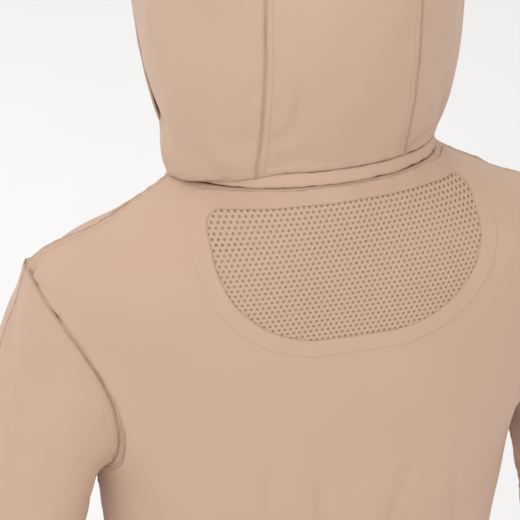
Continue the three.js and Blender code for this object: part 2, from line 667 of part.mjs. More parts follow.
// One side of the zip: a tape with teeth that pass the middle line between the other side's.
function zipSide(first) {
  const shape = new THREE.Shape();
  shape.moveTo(TAPE_W, zipLow);
  shape.lineTo(TAPE_W, zipHigh);
  shape.lineTo(TOOTH_ROOT, zipHigh);
  const tooth = TOOTH_PITCH / 2 - SEAM;
  const count = Math.floor((zipHigh - zipLow - first - tooth) / TOOTH_PITCH);
  for (let i = count; i >= 0; i--) {
    const low = zipLow + first + i * TOOTH_PITCH;
    shape.lineTo(TOOTH_ROOT, low + tooth);
    shape.lineTo(-TOOTH_TIP, low + tooth);
    shape.lineTo(-TOOTH_TIP, low);
    shape.lineTo(TOOTH_ROOT, low);
  }
  shape.lineTo(TOOTH_ROOT, zipLow);
  const flat = new THREE.ExtrudeGeometry(shape, { depth: TAPE_T, bevelEnabled: false });
  return indexedCopy(flat.rotateX(Math.PI / 2).translate(0, TAPE_Y + TAPE_T, 0));
}

// A slider with a bridge that carries its pull, standing at the origin of its own frame.
const SLIDER_L = 14;
const SLIDER_T = 2.8;
const BRIDGE_T = 3.2;
function sliderBody(width, length, thick) {
  const plate = toManifold(boxFrom(-width / 2, width / 2, -thick, 0, -length / 2, length / 2));
  const bridge = toManifold(boxFrom(-1.5, 1.5, -thick - BRIDGE_T, -thick / 2, -4, 4));
  return toGeometry(plate.add(bridge));
}

const PULL_T = 1.4;
const PULL_GAP = 0.4;
const pullFront = (thick) => -thick - BRIDGE_T - PULL_GAP - PULL_T;

// A pull hangs from its hinge line just in front of the slider's bridge.
const pullPlate = (width, length, thick) =>
  boxFrom(-width / 2, width / 2, pullFront(thick), pullFront(thick) + PULL_T, 3 - length, 3);

function addFrontZip() {
  add('front_zip_left', zipSide(TOOTH_PITCH / 2), tape, frontFrame);
  add('front_zip_right', mirrored(zipSide(0)), tape, frontFrame);
  add('zip_bottom_stop', boxFrom(-4.5, 4.5, 0.8, TAPE_Y + TAPE_T, zipLow - 6, zipLow - SEAM), metal, frontFrame);
  const slider = new THREE.Group();
  slider.position.set(0, TAPE_Y - SEAM, zipHigh - SLIDER_L / 2);
  frontFrame.add(slider);
  add('zip_slider', sliderBody(10, SLIDER_L, SLIDER_T), metal, slider);
  add('zip_pull', pullPlate(7, 30, SLIDER_T), metal, slider);
  const tab = boxFrom(-20, 26, -2.9, -SEAM, zipHigh + 2, frontLength - 3);
  add('throat_tab', tab, tanDark, frontFrame);
}

// The chest pocket lies on the left front panel; x is measured from the middle line.
const POCKET_IN = 34;
const POCKET_LOW = 1.95;
const POCKET_TOP = 3.02;
function chest(x, at) {
  const s = bodyCourse(at);
  return body(Math.PI - Math.asin((x / s.half) ** (s.round / 2)), at);
}
chest.outward = 1;

function addChestPocket() {
  const across = steps(POCKET_IN, POCKET_IN + CHEST_POCKET_W, 6);
  add('chest_pocket', patch(chest, across, steps(POCKET_LOW, POCKET_TOP, 5), 3, 0.5), tan);
  const wide = steps(POCKET_IN - 3, POCKET_IN + CHEST_POCKET_W + 3, 6);
  add('chest_flap', patch(chest, wide, steps(POCKET_TOP - 0.38, POCKET_TOP + 0.05, 3), 5, 3.4), tanDark);
}

// An ankle zip is sewn on the outer side of each trouser leg, straight up from the cuff.
const ANKLE_ZIP_LOW = ANKLE_CUFF + 10;
function addAnkleZips() {
  const low = onSurface(leg, 0.5, ANKLE_ZIP_LOW);
  const high = leg(0.5, ANKLE_ZIP_LOW + ANKLE_ZIP);
  const rise = high.clone().sub(low.point);
  const side = vec(0, 1, 0);
  const up = rise.clone().normalize();
  const inward = up.clone().cross(side).normalize();
  const frame = new THREE.Matrix4().makeBasis(side, inward.x < 0 ? inward : inward.negate(), up);
  frame.setPosition(low.point);
  const length = rise.length();
  const tapeTop = 2.2;
  const strip = boxFrom(-8, 8, -tapeTop, -0.7, 0, length);
  addPair('ankle_zip', placed(strip, frame), tape);
  const runner = sliderBody(9, 12, 2.2).translate(0, -tapeTop - SEAM, 14);
  addPair('ankle_slider', placed(runner, frame), metal);
  const pull = pullPlate(6, 24, 2.2).translate(0, -tapeTop - SEAM, 14);
  addPair('ankle_pull', placed(pull, frame), metal);
}

function placed(geometry, frame) {
  const moved = indexedCopy(geometry).applyMatrix4(frame);
  return volume(moved) < 0 ? turned(moved) : moved;
}

// A pleat lies beside each armhole on the back, for reach.
function addPleats() {
  const rows = steps(2.35, 3.75, 6).map((at) => {
    const round = Math.acos((ARMPIT + 1 - at) / 1);
    const edge = armholePlace(round).turn;
    const turns = [edge - 0.2, edge - 0.13, edge - 0.06];
    return turns.map((turn) => layer(body, turn, at, 2.8, 0.8));
  });
  addPair('shoulder_pleat', clothSolid(rows), tan);
}

addBodyPanels();
addSleeves();
addSleeveCuffs();
addWaist();
addLegs();
addNeck();
addHood();
addFrontZip();
addChestPocket();
addAnkleZips();
addPleats();

export default suit;
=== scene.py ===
import json
import math

import bpy
import numpy as np
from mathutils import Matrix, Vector
from mathutils.bvhtree import BVHTree


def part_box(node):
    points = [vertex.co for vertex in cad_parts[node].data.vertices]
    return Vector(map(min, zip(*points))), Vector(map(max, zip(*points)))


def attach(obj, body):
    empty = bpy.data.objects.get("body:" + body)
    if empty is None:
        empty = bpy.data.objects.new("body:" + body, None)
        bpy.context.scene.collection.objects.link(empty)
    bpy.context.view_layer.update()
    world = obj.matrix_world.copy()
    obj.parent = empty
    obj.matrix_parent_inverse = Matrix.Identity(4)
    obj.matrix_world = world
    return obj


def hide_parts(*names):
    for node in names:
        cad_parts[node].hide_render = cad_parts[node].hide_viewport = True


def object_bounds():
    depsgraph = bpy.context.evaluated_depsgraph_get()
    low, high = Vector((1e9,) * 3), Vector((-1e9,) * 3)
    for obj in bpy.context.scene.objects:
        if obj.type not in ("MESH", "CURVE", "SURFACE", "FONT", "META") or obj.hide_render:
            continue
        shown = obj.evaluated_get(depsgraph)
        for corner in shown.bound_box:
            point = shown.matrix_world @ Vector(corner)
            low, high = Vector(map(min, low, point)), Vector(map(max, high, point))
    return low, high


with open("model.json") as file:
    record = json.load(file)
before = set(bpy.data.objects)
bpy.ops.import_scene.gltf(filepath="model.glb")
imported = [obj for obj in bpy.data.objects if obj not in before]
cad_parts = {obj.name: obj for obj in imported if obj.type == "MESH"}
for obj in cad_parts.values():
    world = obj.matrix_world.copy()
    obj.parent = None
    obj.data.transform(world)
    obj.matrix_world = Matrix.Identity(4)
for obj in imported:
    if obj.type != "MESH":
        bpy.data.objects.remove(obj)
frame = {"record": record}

cad_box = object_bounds()

# ---------------------------------------------------------------------------------------------
# The view. A camera with a long lens looks down on the back of the left shoulder, a little from
# the wearer's left. A wide soft lamp stands behind on that side, a second fills from the front, and
# the floor is plain and pale.
scene = bpy.context.scene
scene.view_settings.view_transform = "Standard"


def direction(azimuth, elevation):
    a, e = math.radians(azimuth), math.radians(elevation)
    return Vector((math.sin(a) * math.cos(e), -math.cos(a) * math.cos(e), math.sin(e)))


camera = bpy.data.objects.new("camera", bpy.data.cameras.new("camera"))
scene.collection.objects.link(camera)
scene.camera = camera
look_back = direction(165.8, 33.4)
camera.location = Vector((0.0622, 0.120, 1.4701)) + look_back * 1.8
camera.rotation_mode = "QUATERNION"
camera.rotation_quaternion = (-look_back).to_track_quat("-Z", "Y")
camera.data.lens = 158.7
camera.data.sensor_width = 36
camera.data.clip_end = 50


def lamp(name, azimuth, elevation, size, power):
    light = bpy.data.lights.new(name, "AREA")
    light.size = size
    light.energy = power
    light.color = (1.0, 0.985, 0.965)
    obj = bpy.data.objects.new(name, light)
    scene.collection.objects.link(obj)
    towards = direction(azimuth, elevation)
    obj.location = Vector((0, 0.05, 1.2)) + towards * 3.2
    obj.rotation_mode = "QUATERNION"
    obj.rotation_quaternion = towards.to_track_quat("Z", "Y")
    return obj


lamp("key", 150, 46, 2.4, 34)
lamp("fill_front", 20, 30, 2.6, 22)

world = bpy.data.worlds.new("studio")
world.use_nodes = True
world.node_tree.nodes["Background"].inputs["Color"].default_value = (1, 0.995, 0.985, 1)
world.node_tree.nodes["Background"].inputs["Strength"].default_value = 0.78
scene.world = world


class Wire:
    """One output of a shader node, which takes part in sums like a number."""

    def __init__(self, tree, socket):
        self.tree = tree
        self.socket = socket

    def math(self, kind, *others):
        node = self.tree.nodes.new("ShaderNodeMath")
        node.operation = kind
        for slot, value in zip(node.inputs, (self, *others)):
            plug(self.tree, slot, value)
        return Wire(self.tree, node.outputs[0])

    def __add__(self, other):
        return self.math("ADD", other)

    def __sub__(self, other):
        return self.math("SUBTRACT", other)

    def __rsub__(self, other):
        return (self * -1) + other

    def __mul__(self, other):
        return self.math("MULTIPLY", other)

    __radd__ = __add__
    __rmul__ = __mul__


def plug(tree, slot, value):
    if isinstance(value, Wire):
        tree.links.new(value.socket, slot)
    else:
        slot.default_value = value


def node(tree, kind, settings, sockets, out=0):
    """Any other node, from its type, its settings and what goes into it."""
    made = tree.nodes.new(kind)
    for key, value in settings.items():
        setattr(made, key, value)
    for key, value in sockets.items():
        plug(tree, made.inputs[key], value)
    return Wire(tree, made.outputs[out])


def blank(name):
    material = bpy.data.materials.new(name)
    material.use_nodes = True
    tree = material.node_tree
    shader = tree.nodes["Principled BSDF"]
    return material, tree, shader


def noise(tree, where, scale, detail=2.0, rough=0.5):
    inputs = {"Vector": where, "Scale": scale, "Detail": detail, "Roughness": rough}
    return node(tree, "ShaderNodeTexNoise", {}, inputs)


def mixed(tree, share, low, high):
    made = tree.nodes.new("ShaderNodeMix")
    made.data_type = "RGBA"
    plug(tree, made.inputs["Factor"], share)
    plug(tree, made.inputs[6], low)
    plug(tree, made.inputs[7], high)
    return Wire(tree, made.outputs[2])


def shade_of(colour, factor):
    return (*(c * factor for c in colour), 1)


def bumped(tree, shader, height, distance, strength=1.0):
    inputs = {"Height": height, "Distance": distance, "Strength": strength}
    plug(tree, shader.inputs["Normal"], node(tree, "ShaderNodeBump", {}, inputs))


floor_look, tree, shader = blank("floor_paper")
grain = noise(tree, node(tree, "ShaderNodeTexCoord", {}, {}, 3), 6.0, 3.0)
plug(tree, shader.inputs["Base Color"], mixed(tree, grain, (0.965, 0.963, 0.96, 1), (0.985, 0.984, 0.98, 1)))
plug(tree, shader.inputs["Roughness"], 0.9)
bpy.ops.mesh.primitive_plane_add(size=24, location=(0, 0, cad_box[0].z - 0.0008))
floor = bpy.context.object
floor.name = "floor"
floor.data.materials.append(floor_look)

# ---------------------------------------------------------------------------------------------
# The back panel, cut in one piece from the waist to the neck and from armhole to armhole. It is
# a dense, soft, windproof cloth with a lining, and felled seams join it to its neighbours.
MM = 0.001
STAND_Y = 24  # from the coverall's own middle plane to the middle of the whole object


def course(places, stations):
    """A smooth course of named sizes through its stations, read at any place between them."""
    keys = list(stations[0])
    t = np.array(places, float)
    values = np.array([[s[k] for k in keys] for s in stations], float)
    n = len(t)

    def read(at):
        at = np.clip(np.asarray(at, float), t[0], t[-1])
        i1 = np.clip(np.searchsorted(t, at, side="right"), 1, n - 1)
        i0 = i1 - 1
        t0, t1 = t[i0], t[i1]
        before = np.where(i0 > 0, i0 - 1, i1)
        after = np.where(i1 + 1 < n, i1 + 1, i0)
        t_before = np.where(i0 > 0, t[np.maximum(i0 - 1, 0)], t1)
        t_after = np.where(i1 + 1 < n, t[np.minimum(i1 + 1, n - 1)], t0)
        half = (t1 - t0) / 2
        w0, w1 = half / (t0 - t_before), half / (t_after - t1)
        p = (at - t0) / (t1 - t0)
        p2, p3 = p * p, p * p * p
        parts = (
            (-w0 * p3 + 2 * w0 * p2 - w0 * p, before),
            ((1 + w0) * p3 + (-1.5 - 2 * w0) * p2 + (-0.5 + w0) * p + 1, i0),
            ((-1 - w1) * p3 + (1.5 + w1) * p2 + 0.5 * p, i1),
            (w1 * p3 - w1 * p2, after),
        )
        total = sum(w[..., None] * values[i] for w, i in parts)
        return {k: total[..., j] for j, k in enumerate(keys)}

    return read


def power(v, rounding):
    return np.sign(v) * np.abs(v) ** (2 / rounding)


NECK_R, NECK_Y, NECK_Z, NECK_TILT = 107, -5, 1500, math.radians(17)
neck_rise, neck_reach = NECK_R * math.sin(NECK_TILT), NECK_R * math.cos(NECK_TILT)
neck_axis = np.array([0, -math.sin(NECK_TILT), math.cos(NECK_TILT)])
FRONT_LOW_Y, FRONT_LOW_Z = -122, 880
front_lean = (NECK_Y - neck_reach - FRONT_LOW_Y) / (NECK_Z - neck_rise - FRONT_LOW_Z)


def front_y(z):
    return FRONT_LOW_Y + front_lean * (z - FRONT_LOW_Z)


def section(side_z, back_z, front_z, half, back, rounding, mid_y=0):
    return dict(side_z=side_z, back_z=back_z, front_z=front_z, half=half, back=back,
                front=front_y(front_z), round=rounding, mid_y=mid_y)


WAIST, ARMPIT, SHOULDER, NECK = 0, 2, 4, 6
body_course = course(range(7), [
    section(1045, 1045, 1045, 172, 108, 2.2),
    section(1150, 1150, 1150, 178, 117, 2.25),
    section(1240, 1240, 1240, 188, 129, 2.35),
    section(1335, 1342, 1330, 212, 141, 2.4),
    section(1430, 1442, 1402, 234, 135, 2.2),
    section(1466, 1493, 1441, 168, 119, 2.1),
    section(NECK_Z, NECK_Z + neck_rise, NECK_Z - neck_rise, NECK_R, NECK_Y + neck_reach, 2, NECK_Y),
])


def ring_point(s, turn):
    """A point of a rounded section: turn is 0 at the centre back and a quarter turn at the left."""
    across = power(np.sin(turn), s["round"])
    along = power(np.cos(turn), s["round"])
    deep = np.where(along > 0, s["back"] - s["mid_y"], s["mid_y"] - s["front"])
    rise = np.where(along > 0, s["back_z"] - s["side_z"], s["side_z"] - s["front_z"])
    y = s["mid_y"] + deep * along + STAND_Y
    return np.stack([s["half"] * across, y, s["side_z"] + rise * along], -1) * MM


def body_at(turn, at):
    return ring_point(body_course(at), np.asarray(turn, float))


def unit(v):
    return v / np.maximum(np.linalg.norm(v, axis=-1, keepdims=True), 1e-12)


def smooth(v, low, high):
    t = np.clip((v - low) / (high - low), 0, 1)
    return t * t * (3 - 2 * t)


def normals_of(grid, inside, ring=False):
    """Unit normals of a grid of points, turned away from the point called inside."""
    if ring:
        across = np.roll(grid, -1, 1) - np.roll(grid, 1, 1)
    else:
        across = np.gradient(grid, axis=1)
    normal = np.cross(across, np.gradient(grid, axis=0))
    for r, k in ((0, 1), (-1, -2)):
        if np.linalg.norm(across[r], axis=-1).max() < 1e-6:
            normal[r] = normal[k]
    normal = unit(normal)
    away = np.sum(normal * (grid - np.asarray(inside, float)))
    return normal if away > 0 else -normal


def gaps(grid, axis):
    """Distances between neighbouring points, summed from the first."""
    step = np.linalg.norm(np.diff(grid, axis=axis), axis=-1)
    zero = np.zeros_like(np.take(step, [0], axis=axis))
    return np.cumsum(np.concatenate([zero, step], axis), axis)


def edge_distance(grid, sides):
    """How far each point lies from the nearest of the named edges."""
    across, along = gaps(grid, 1), gaps(grid, 0)
    found = {
        "left": across, "right": across[:, -1:] - across,
        "low": along, "high": along[-1:] - along,
    }
    return np.min([found[s] for s in sides], axis=0)


def waves(points, size, seed, stretch=(1, 1, 1)):
    """Smooth unevenness about this size, from -1 to 1."""
    draw = np.random.default_rng(seed)
    total = 0
    for _ in range(10):
        way = unit(draw.normal(size=3))
        rate = 2 * math.pi / size * draw.uniform(0.6, 1.5)
        total = total + np.sin((points * np.array(stretch)) @ way * rate + draw.uniform(0, 6.28))
    return total / 4.2


def creases(points, size, seed, stretch=(1, 1, 1), width=0.2):
    """Narrow pinched lines that wander over the cloth, from 0 to 1."""
    line = waves(points, size, seed, stretch)
    mask = smooth(waves(points, size * 1.7, seed + 50), -0.1, 0.7)
    return np.exp(-((line / width) ** 2)) * mask


def line_distance(points, line):
    """The distance to a polyline in the row frame, and the share of the way along it."""
    line = np.array(line, float) * MM
    best = np.full(points.shape[:-1], 1e9)
    place = np.zeros(points.shape[:-1])
    for i, (a, b) in enumerate(zip(line[:-1], line[1:])):
        t = np.clip((points - a) @ (b - a) / np.sum((b - a) ** 2), 0, 1)
        d = np.linalg.norm(points - a - t[..., None] * (b - a), axis=-1)
        place = np.where(d < best, (i + t) / (len(line) - 1), place)
        best = np.minimum(best, d)
    return best, place


def fold(points, line, width, depth):
    """A soft hollow along a line, which fades at both of its ends."""
    d, place = line_distance(points, line)
    fade = smooth(place, 0, 0.15) * smooth(1 - place, 0, 0.15)
    return -depth * np.exp(-((d / width) ** 2)) * fade


def seam_relief(d, seed=1, points=None):
    """The groove of a seam, the felled allowance beside it and the pucker of its stitching."""
    groove = -0.0004 * np.exp(-((d / 0.0009) ** 2))
    fell = 0.0003 * smooth(d, 0.0008, 0.002) * smooth(0.0085 - d, 0, 0.0016)
    pucker = 0
    if points is not None:
        pucker = 0.00045 * waves(points, 0.011, seed) * np.exp(-((d / 0.009) ** 2))
        pucker = pucker + 0.0009 * waves(points, 0.034, seed + 7) * np.exp(-((d / 0.022) ** 2))
        pucker = pucker * smooth(d, 0, 0.0015)
    return groove + fell + pucker


def mesh_from(name, points, quads, uv=None, shades=None, smooth_faces=True):
    mesh = bpy.data.meshes.new(name)
    mesh.vertices.add(len(points))
    mesh.vertices.foreach_set("co", np.asarray(points, np.float32).ravel())
    mesh.loops.add(quads.size)
    mesh.loops.foreach_set("vertex_index", quads.astype(np.int32).ravel())
    mesh.polygons.add(len(quads))
    mesh.polygons.foreach_set("loop_start", np.arange(0, quads.size, quads.shape[1], dtype=np.int32))
    mesh.update(calc_edges=True)
    mesh.polygons.foreach_set("use_smooth", np.full(len(quads), smooth_faces))
    if uv is not None:
        layer = mesh.uv_layers.new(name="grain")
        layer.data.foreach_set("uv", uv[quads.ravel()].astype(np.float32).ravel())
    # The point attribute carries painted shade: how much darker the cloth is drawn along seams and in
    # creases, grooves and shadows.
    if shades is not None:
        layer = mesh.attributes.new("painted_shade", "FLOAT", "POINT")
        layer.data.foreach_set("value", shades.astype(np.float32))
    mesh.update()
    obj = bpy.data.objects.new(name, mesh)
    scene.collection.objects.link(obj)
    return obj


def shell_quads(rows, cols, ring=False):
    """Faces of a closed shell from two layers of rows x cols points, the outer layer first."""
    at = np.arange(rows * cols).reshape(rows, cols)
    right = np.roll(at, -1, 1) if ring else at[:, 1:]
    left = at if ring else at[:, :-1]
    top = np.stack([left[:-1], right[:-1], right[1:], left[1:]], -1).reshape(-1, 4)
    under = rows * cols
    faces = [top, top[:, ::-1] + under]
    rims = [(left[0], right[0]), (right[-1], left[-1])]
    if not ring:
        rims += [(at[1:, 0], at[:-1, 0]), (at[:-1, -1], at[1:, -1])]
    for a, b in rims:
        faces.append(np.stack([b, a, a + under, b + under], -1))
    return np.concatenate(faces)


cloths = {}


def let_out(grid, by, ring):
    """Lets a grid's edges out so that the pieces either side of a seam meet."""
    grid = grid.copy()
    grid[0] += unit(grid[0] - grid[1]) * by
    grid[-1] += unit(grid[-1] - grid[-2]) * by
    if not ring:
        grid[:, 0] += unit(grid[:, 0] - grid[:, 1]) * by
        grid[:, -1] += unit(grid[:, -1] - grid[:, -2]) * by
    return grid


class Cloth:
    """One piece of cloth from a grid of points on its right side."""

    def __init__(self, name, grid, look, inside, thick=0.0011, ring=False, relief=0, painted_shade=0, keep=None,
                 meet=0.00035):
        cloths[name] = self
        grid = let_out(grid, meet, ring)
        normal = normals_of(grid, inside, ring)
        self.cut = (float(gaps(grid, 1)[:, -1].max()), float(gaps(grid, 0)[-1].max()))
        if ring:
            closing = np.linalg.norm(grid[:, 0] - grid[:, -1], axis=-1)
            self.cut = (float((gaps(grid, 1)[:, -1] + closing).max()), self.cut[1])
        self.flat_area = self.area(grid, ring)
        self.grid = grid + normal * (np.zeros(grid.shape[:2]) + relief)[..., None]
        self.normal = normals_of(self.grid, inside, ring)
        rows, cols = grid.shape[:2]
        under = self.grid - self.normal * thick
        points = np.concatenate([self.grid.reshape(-1, 3), under.reshape(-1, 3)])
        across = gaps(grid, 1)
        across = across - across[:, cols // 2:cols // 2 + 1]
        along = np.broadcast_to(gaps(grid, 0)[:, cols // 2:cols // 2 + 1], across.shape)
        uv = np.stack([across, along], -1).reshape(-1, 2)
        quads = shell_quads(rows, cols, ring)
        if np.sum(np.cross(self.grid[1:, :-1] - self.grid[:-1, :-1],
                           self.grid[:-1, 1:] - self.grid[:-1, :-1]) * self.normal[:-1, :-1]) > 0:
            quads = quads[:, ::-1]
        if keep is not None:
            quads = self.without(quads, keep, rows * cols)
        # The given mask of painted shade is stored on both layers of the cloth.
        shades = np.tile((np.zeros((rows, cols)) + painted_shade).ravel(), 2)
        self.obj = mesh_from(name, points, quads, np.tile(uv, (2, 1)), shades)
        self.obj.data.materials.append(look)

    @staticmethod
    def area(grid, ring):
        wide = np.roll(grid, -1, 1) if ring else grid[:, 1:]
        start = grid if ring else grid[:, :-1]
        one = np.cross(wide[:-1] - start[:-1], start[1:] - start[:-1])
        two = np.cross(wide[1:] - start[1:], wide[1:] - wide[:-1])
        return float(np.linalg.norm(one, axis=-1).sum() + np.linalg.norm(two, axis=-1).sum()) / 2

    @staticmethod
    def without(quads, keep, under):
        """Leaves out the faces round a hole, and closes the hole's rim between the two layers."""
        keep = np.tile(keep.ravel(), 2)
        quads = quads[keep[quads].all(1)]
        top = quads[(quads < under).all(1)]
        edges = np.concatenate([top[:, [i, (i + 1) % 4]] for i in range(4)])
        have = {(a, b) for q in quads for a, b in zip(q, np.roll(q, -1))}
        rim = np.array([(a, b) for a, b in edges if (b, a) not in have])
        walls = np.stack([rim[:, 1], rim[:, 0], rim[:, 0] + under, rim[:, 1] + under], -1)
        return np.concatenate([quads, walls])

    def line(self, side, inset, lift=0.0):
        """The line at this distance from one edge, on the cloth."""
        grid, normal = self.grid, self.normal
        if side in ("low", "high"):
            grid, normal = grid.transpose(1, 0, 2), normal.transpose(1, 0, 2)
        if side in ("right", "high"):
            grid, normal = grid[:, ::-1], normal[:, ::-1]
        far = gaps(grid, 1)
        found = [[np.interp(inset, d, row[:, k]) for k in range(3)] for d, row in zip(far, grid)]
        return np.array(found) + normal[:, 0] * lift

    def sheet(self):
        whole = self.cut[0] * self.cut[1]
        flat_area = min(max(self.flat_area, 0.31 * whole), whole)


def finish_piece(obj, body, nodes=()):
    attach(obj, body)
    if nodes:
        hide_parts(*nodes)
    return obj


def cloth_look(name, colour, weave=0.00075, relief=0.00005, painted_shade_to=0.8, sheen=0.22, rib=0.0):
    """Woven cloth: a fine plain weave, uneven dye, and painted shade along seams, folds and grooves."""
    material, tree, shader = blank(name)
    here = node(tree, "ShaderNodeTexCoord", {}, {}, 3)
    grain = node(tree, "ShaderNodeUVMap", {"uv_map": "grain"}, {})
    parts = tree.nodes.new("ShaderNodeSeparateXYZ")
    plug(tree, parts.inputs[0], grain)
    u, v = Wire(tree, parts.outputs[0]), Wire(tree, parts.outputs[1])
    turn = 2 * math.pi / weave
    threads = (u * turn).math("SINE") * (v * turn).math("SINE")
    soft = noise(tree, here, 9.0, 3.0)
    speck = noise(tree, here, 900.0, 1.0)
    share = soft * 0.75 + speck * 0.25
    base = mixed(tree, share, shade_of(colour, 0.93), shade_of(colour, 1.06))
    # The attribute mixes in painted shade, a darker colour along seams and in creases, grooves and shadows.
    painted_shade = node(tree, "ShaderNodeAttribute", {"attribute_name": "painted_shade"}, {}, 2)
    base = mixed(tree, painted_shade, base, shade_of(colour, painted_shade_to))
    plug(tree, shader.inputs["Base Color"], base)
    plug(tree, shader.inputs["Roughness"], soft * 0.12 + 0.70)
    plug(tree, shader.inputs["Sheen Weight"], sheen)
    plug(tree, shader.inputs["Sheen Roughness"], 0.45)
    plug(tree, shader.inputs["Specular IOR Level"], 0.25)
    height = threads * 0.5 + noise(tree, here, 160.0, 3.0) * 2.4
    if rib:
        height = height + (u * (2 * math.pi / rib)).math("SINE") * 6
    bumped(tree, shader, height, relief)
    return material


TAN = (0.605, 0.412, 0.302)
suit_cloth = cloth_look("suit_cloth", TAN)

ARMHOLE_BACK, ARMHOLE_FRONT = math.radians(34), math.radians(38)
band_low, band_top = (c.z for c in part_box("waist_band"))


def armhole_edge(at, back):
    """Where a body panel ends: at the side seam, or along the armhole between armpit and shoulder."""
    middle, half = (ARMPIT + SHOULDER) / 2, (SHOULDER - ARMPIT) / 2
    inside = np.clip(1 - ((at - middle) / half) ** 2, 0, 1)
    reach = ARMHOLE_BACK if back else -ARMHOLE_FRONT
    return math.pi / 2 - reach * np.sqrt(inside)


def body_rows(low, arm, high):
    below = np.linspace(WAIST, ARMPIT, low, endpoint=False)
    round_arm = 3 - np.cos(np.linspace(0, math.pi, arm, endpoint=False))
    above = SHOULDER + (NECK - SHOULDER) * np.linspace(0, 1, high) ** 0.92
    return np.concatenate([below, round_arm, above])


def shares(*stops):
    """Shares of the way across a panel: pairs of (where a stretch ends, how many steps it has)."""
    found, last = [np.zeros(1)], 0.0
    for end, count in stops:
        found.append(np.linspace(last, end, count + 1)[1:])
        last = end
    return np.concatenate(found)


def waist_gather(turn, z, amount=0.0022):
    """The drawstring elastic gathers the cloth at the back of the waist."""
    reach = np.exp(-np.abs(z - (band_low + band_top) / 2) / 0.035)
    back = smooth(np.cos(turn), -0.2, 0.35)
    count = np.sin(turn * 46 + 2.2 * np.sin(turn * 7)) + 0.5 * np.sin(turn * 83 + 1.3)
    return amount * count * reach * back


def body_folds(grid, turn, at):
    """Soft hang of the body: broad hollows, drag lines from the armpits and gathers at the waist."""
    free = smooth(at, 0.2, 1.4) * smooth(NECK - at, 0.3, 1.6)
    relief = 0.0022 * waves(grid, 0.20, 3) * free + 0.0008 * waves(grid, 0.07, 4, (1, 1, 0.6)) * free
    drag = smooth(2.9 - at, 0, 1.2) * smooth(at, 0.1, 0.7)
    relief = relief - 0.0034 * creases(grid, 0.16, 11, (1.5, 1, 0.55), 0.25) * drag
    return relief + waist_gather(turn, grid[..., 2])


back_share = shares((0.10, 14), (0.60, 48), (0.90, 30), (0.925, 12), (0.945, 16), (0.99, 14), (1, 8))
at_rows = body_rows(44, 74, 66)
edge = armhole_edge(at_rows, True)
side = back_share[None, :] * edge[:, None]
turns = np.concatenate([-side[:, :0:-1], side], 1)
ats = np.broadcast_to(at_rows[:, None], turns.shape)
share_of = np.concatenate([back_share[:0:-1], back_share])[None, :]
grid = body_at(turns, ats)
low_rows = ats <= 0
grid[low_rows, 2] = band_top

# The pleat beside each armhole folds towards it: the cloth rises to a crisp edge and drops.
PLEAT = 0.935
girth = gaps(grid, 1)
middle = girth[:, girth.shape[1] // 2][:, None]
reach = np.abs(girth - middle)
pleat_column = int(np.argmin(np.abs(share_of - PLEAT)))
from_pleat = reach - reach[:, pleat_column:pleat_column + 1]
open_at = smooth(ats, 2.05, 2.7) * smooth(4.35 - ats, 0, 0.6)
rise = 0.0034 * np.exp(np.minimum(from_pleat, 0) / 0.015)
drop = 0.0034 + 0.0026 * np.exp(-np.maximum(from_pleat - 0.0012, 0) / 0.006)
pleat = np.where(from_pleat <= 0, rise, 0.0034 - drop * smooth(from_pleat, 0, 0.0013))
wobble = 1 + 0.25 * waves(grid, 0.05, 21)
relief = body_folds(grid, turns, ats) + pleat * open_at * wobble
d = edge_distance(grid, ("left", "right", "low", "high"))
relief = relief * smooth(d, 0, 0.010) + seam_relief(d, 5, grid)
left_shoulder = [(233, 24, 1432), (228, 65, 1416), (211, 93, 1417)]
relief = relief + fold(grid, left_shoulder, 0.006, 0.0022)
relief = relief + fold(grid, [(222, 45, 1432), (205, 70, 1437), (180, 88, 1444)], 0.010, 0.0020)
relief = relief + fold(grid, [(173, 26, 1464), (160, 60, 1470), (120, 100, 1492)], 0.016, 0.0022)

# The vent is set into a hole in this panel, and drawn on a plane square to the upper back's slope.
VENT_HALF, VENT_H, VENT_CORNER, VENT_WIDE, VENT_HIGH = 110, 110, 14, 85, 80
VENT_LEAN = math.radians(18.6)
vent_zero = np.array([-8, NECK_Y + neck_reach + 6 + STAND_Y, NECK_Z + neck_rise - 12.5])
vent_up = np.array([0, -math.sin(VENT_LEAN), math.cos(VENT_LEAN)])
vent_out = np.array([0, math.cos(VENT_LEAN), math.sin(VENT_LEAN)])


def vent_outline(grow):
    """The vent's outline in its own plane: a straight top, and wide deep corners below."""
    half, low = VENT_HALF + grow, -VENT_H - grow
    corner, wide, high = VENT_CORNER + max(grow, 0), VENT_WIDE + grow, VENT_HIGH + grow
    quarter = np.linspace(math.pi / 2, 0, 13)
    top = np.stack([np.linspace(0, half - corner, 40), np.full(40, grow)], -1)
    upper = np.stack([half - corner + corner * np.cos(quarter), grow - corner + corner * np.sin(quarter)], -1)
    sweep = -np.linspace(0, math.pi / 2, 60)
    lower = np.stack([half - wide + wide * np.cos(sweep), low + high + high * np.sin(sweep)], -1)
    base = np.stack([np.linspace(half - wide, 0, 12)[1:], np.full(11, low)], -1)
    right = np.concatenate([top, upper[1:], lower, base])
    left = right[1:-1][::-1] * [-1, 1]
    return np.concatenate([right, left])


def inside_vent(points, grow):
    flat = points / MM - vent_zero
    x, h = flat[..., 0], flat @ vent_up
    half, low = VENT_HALF + grow, -VENT_H - grow
    corner, wide, high = VENT_CORNER + max(grow, 0), VENT_WIDE + grow, VENT_HIGH + grow
    within = (np.abs(x) < half) & (h < grow) & (h > low)
    cx, cy = np.abs(x) - (half - wide), (low + high) - h
    within &= ~((cx > 0) & (cy > 0) & ((cx / wide) ** 2 + (cy / high) ** 2 > 1))
    cx, cy = np.abs(x) - (half - corner), h - (grow - corner)
    return within & ~((cx > 0) & (cy > 0) & (cx ** 2 + cy ** 2 > corner ** 2)) & (points[..., 1] > 0)
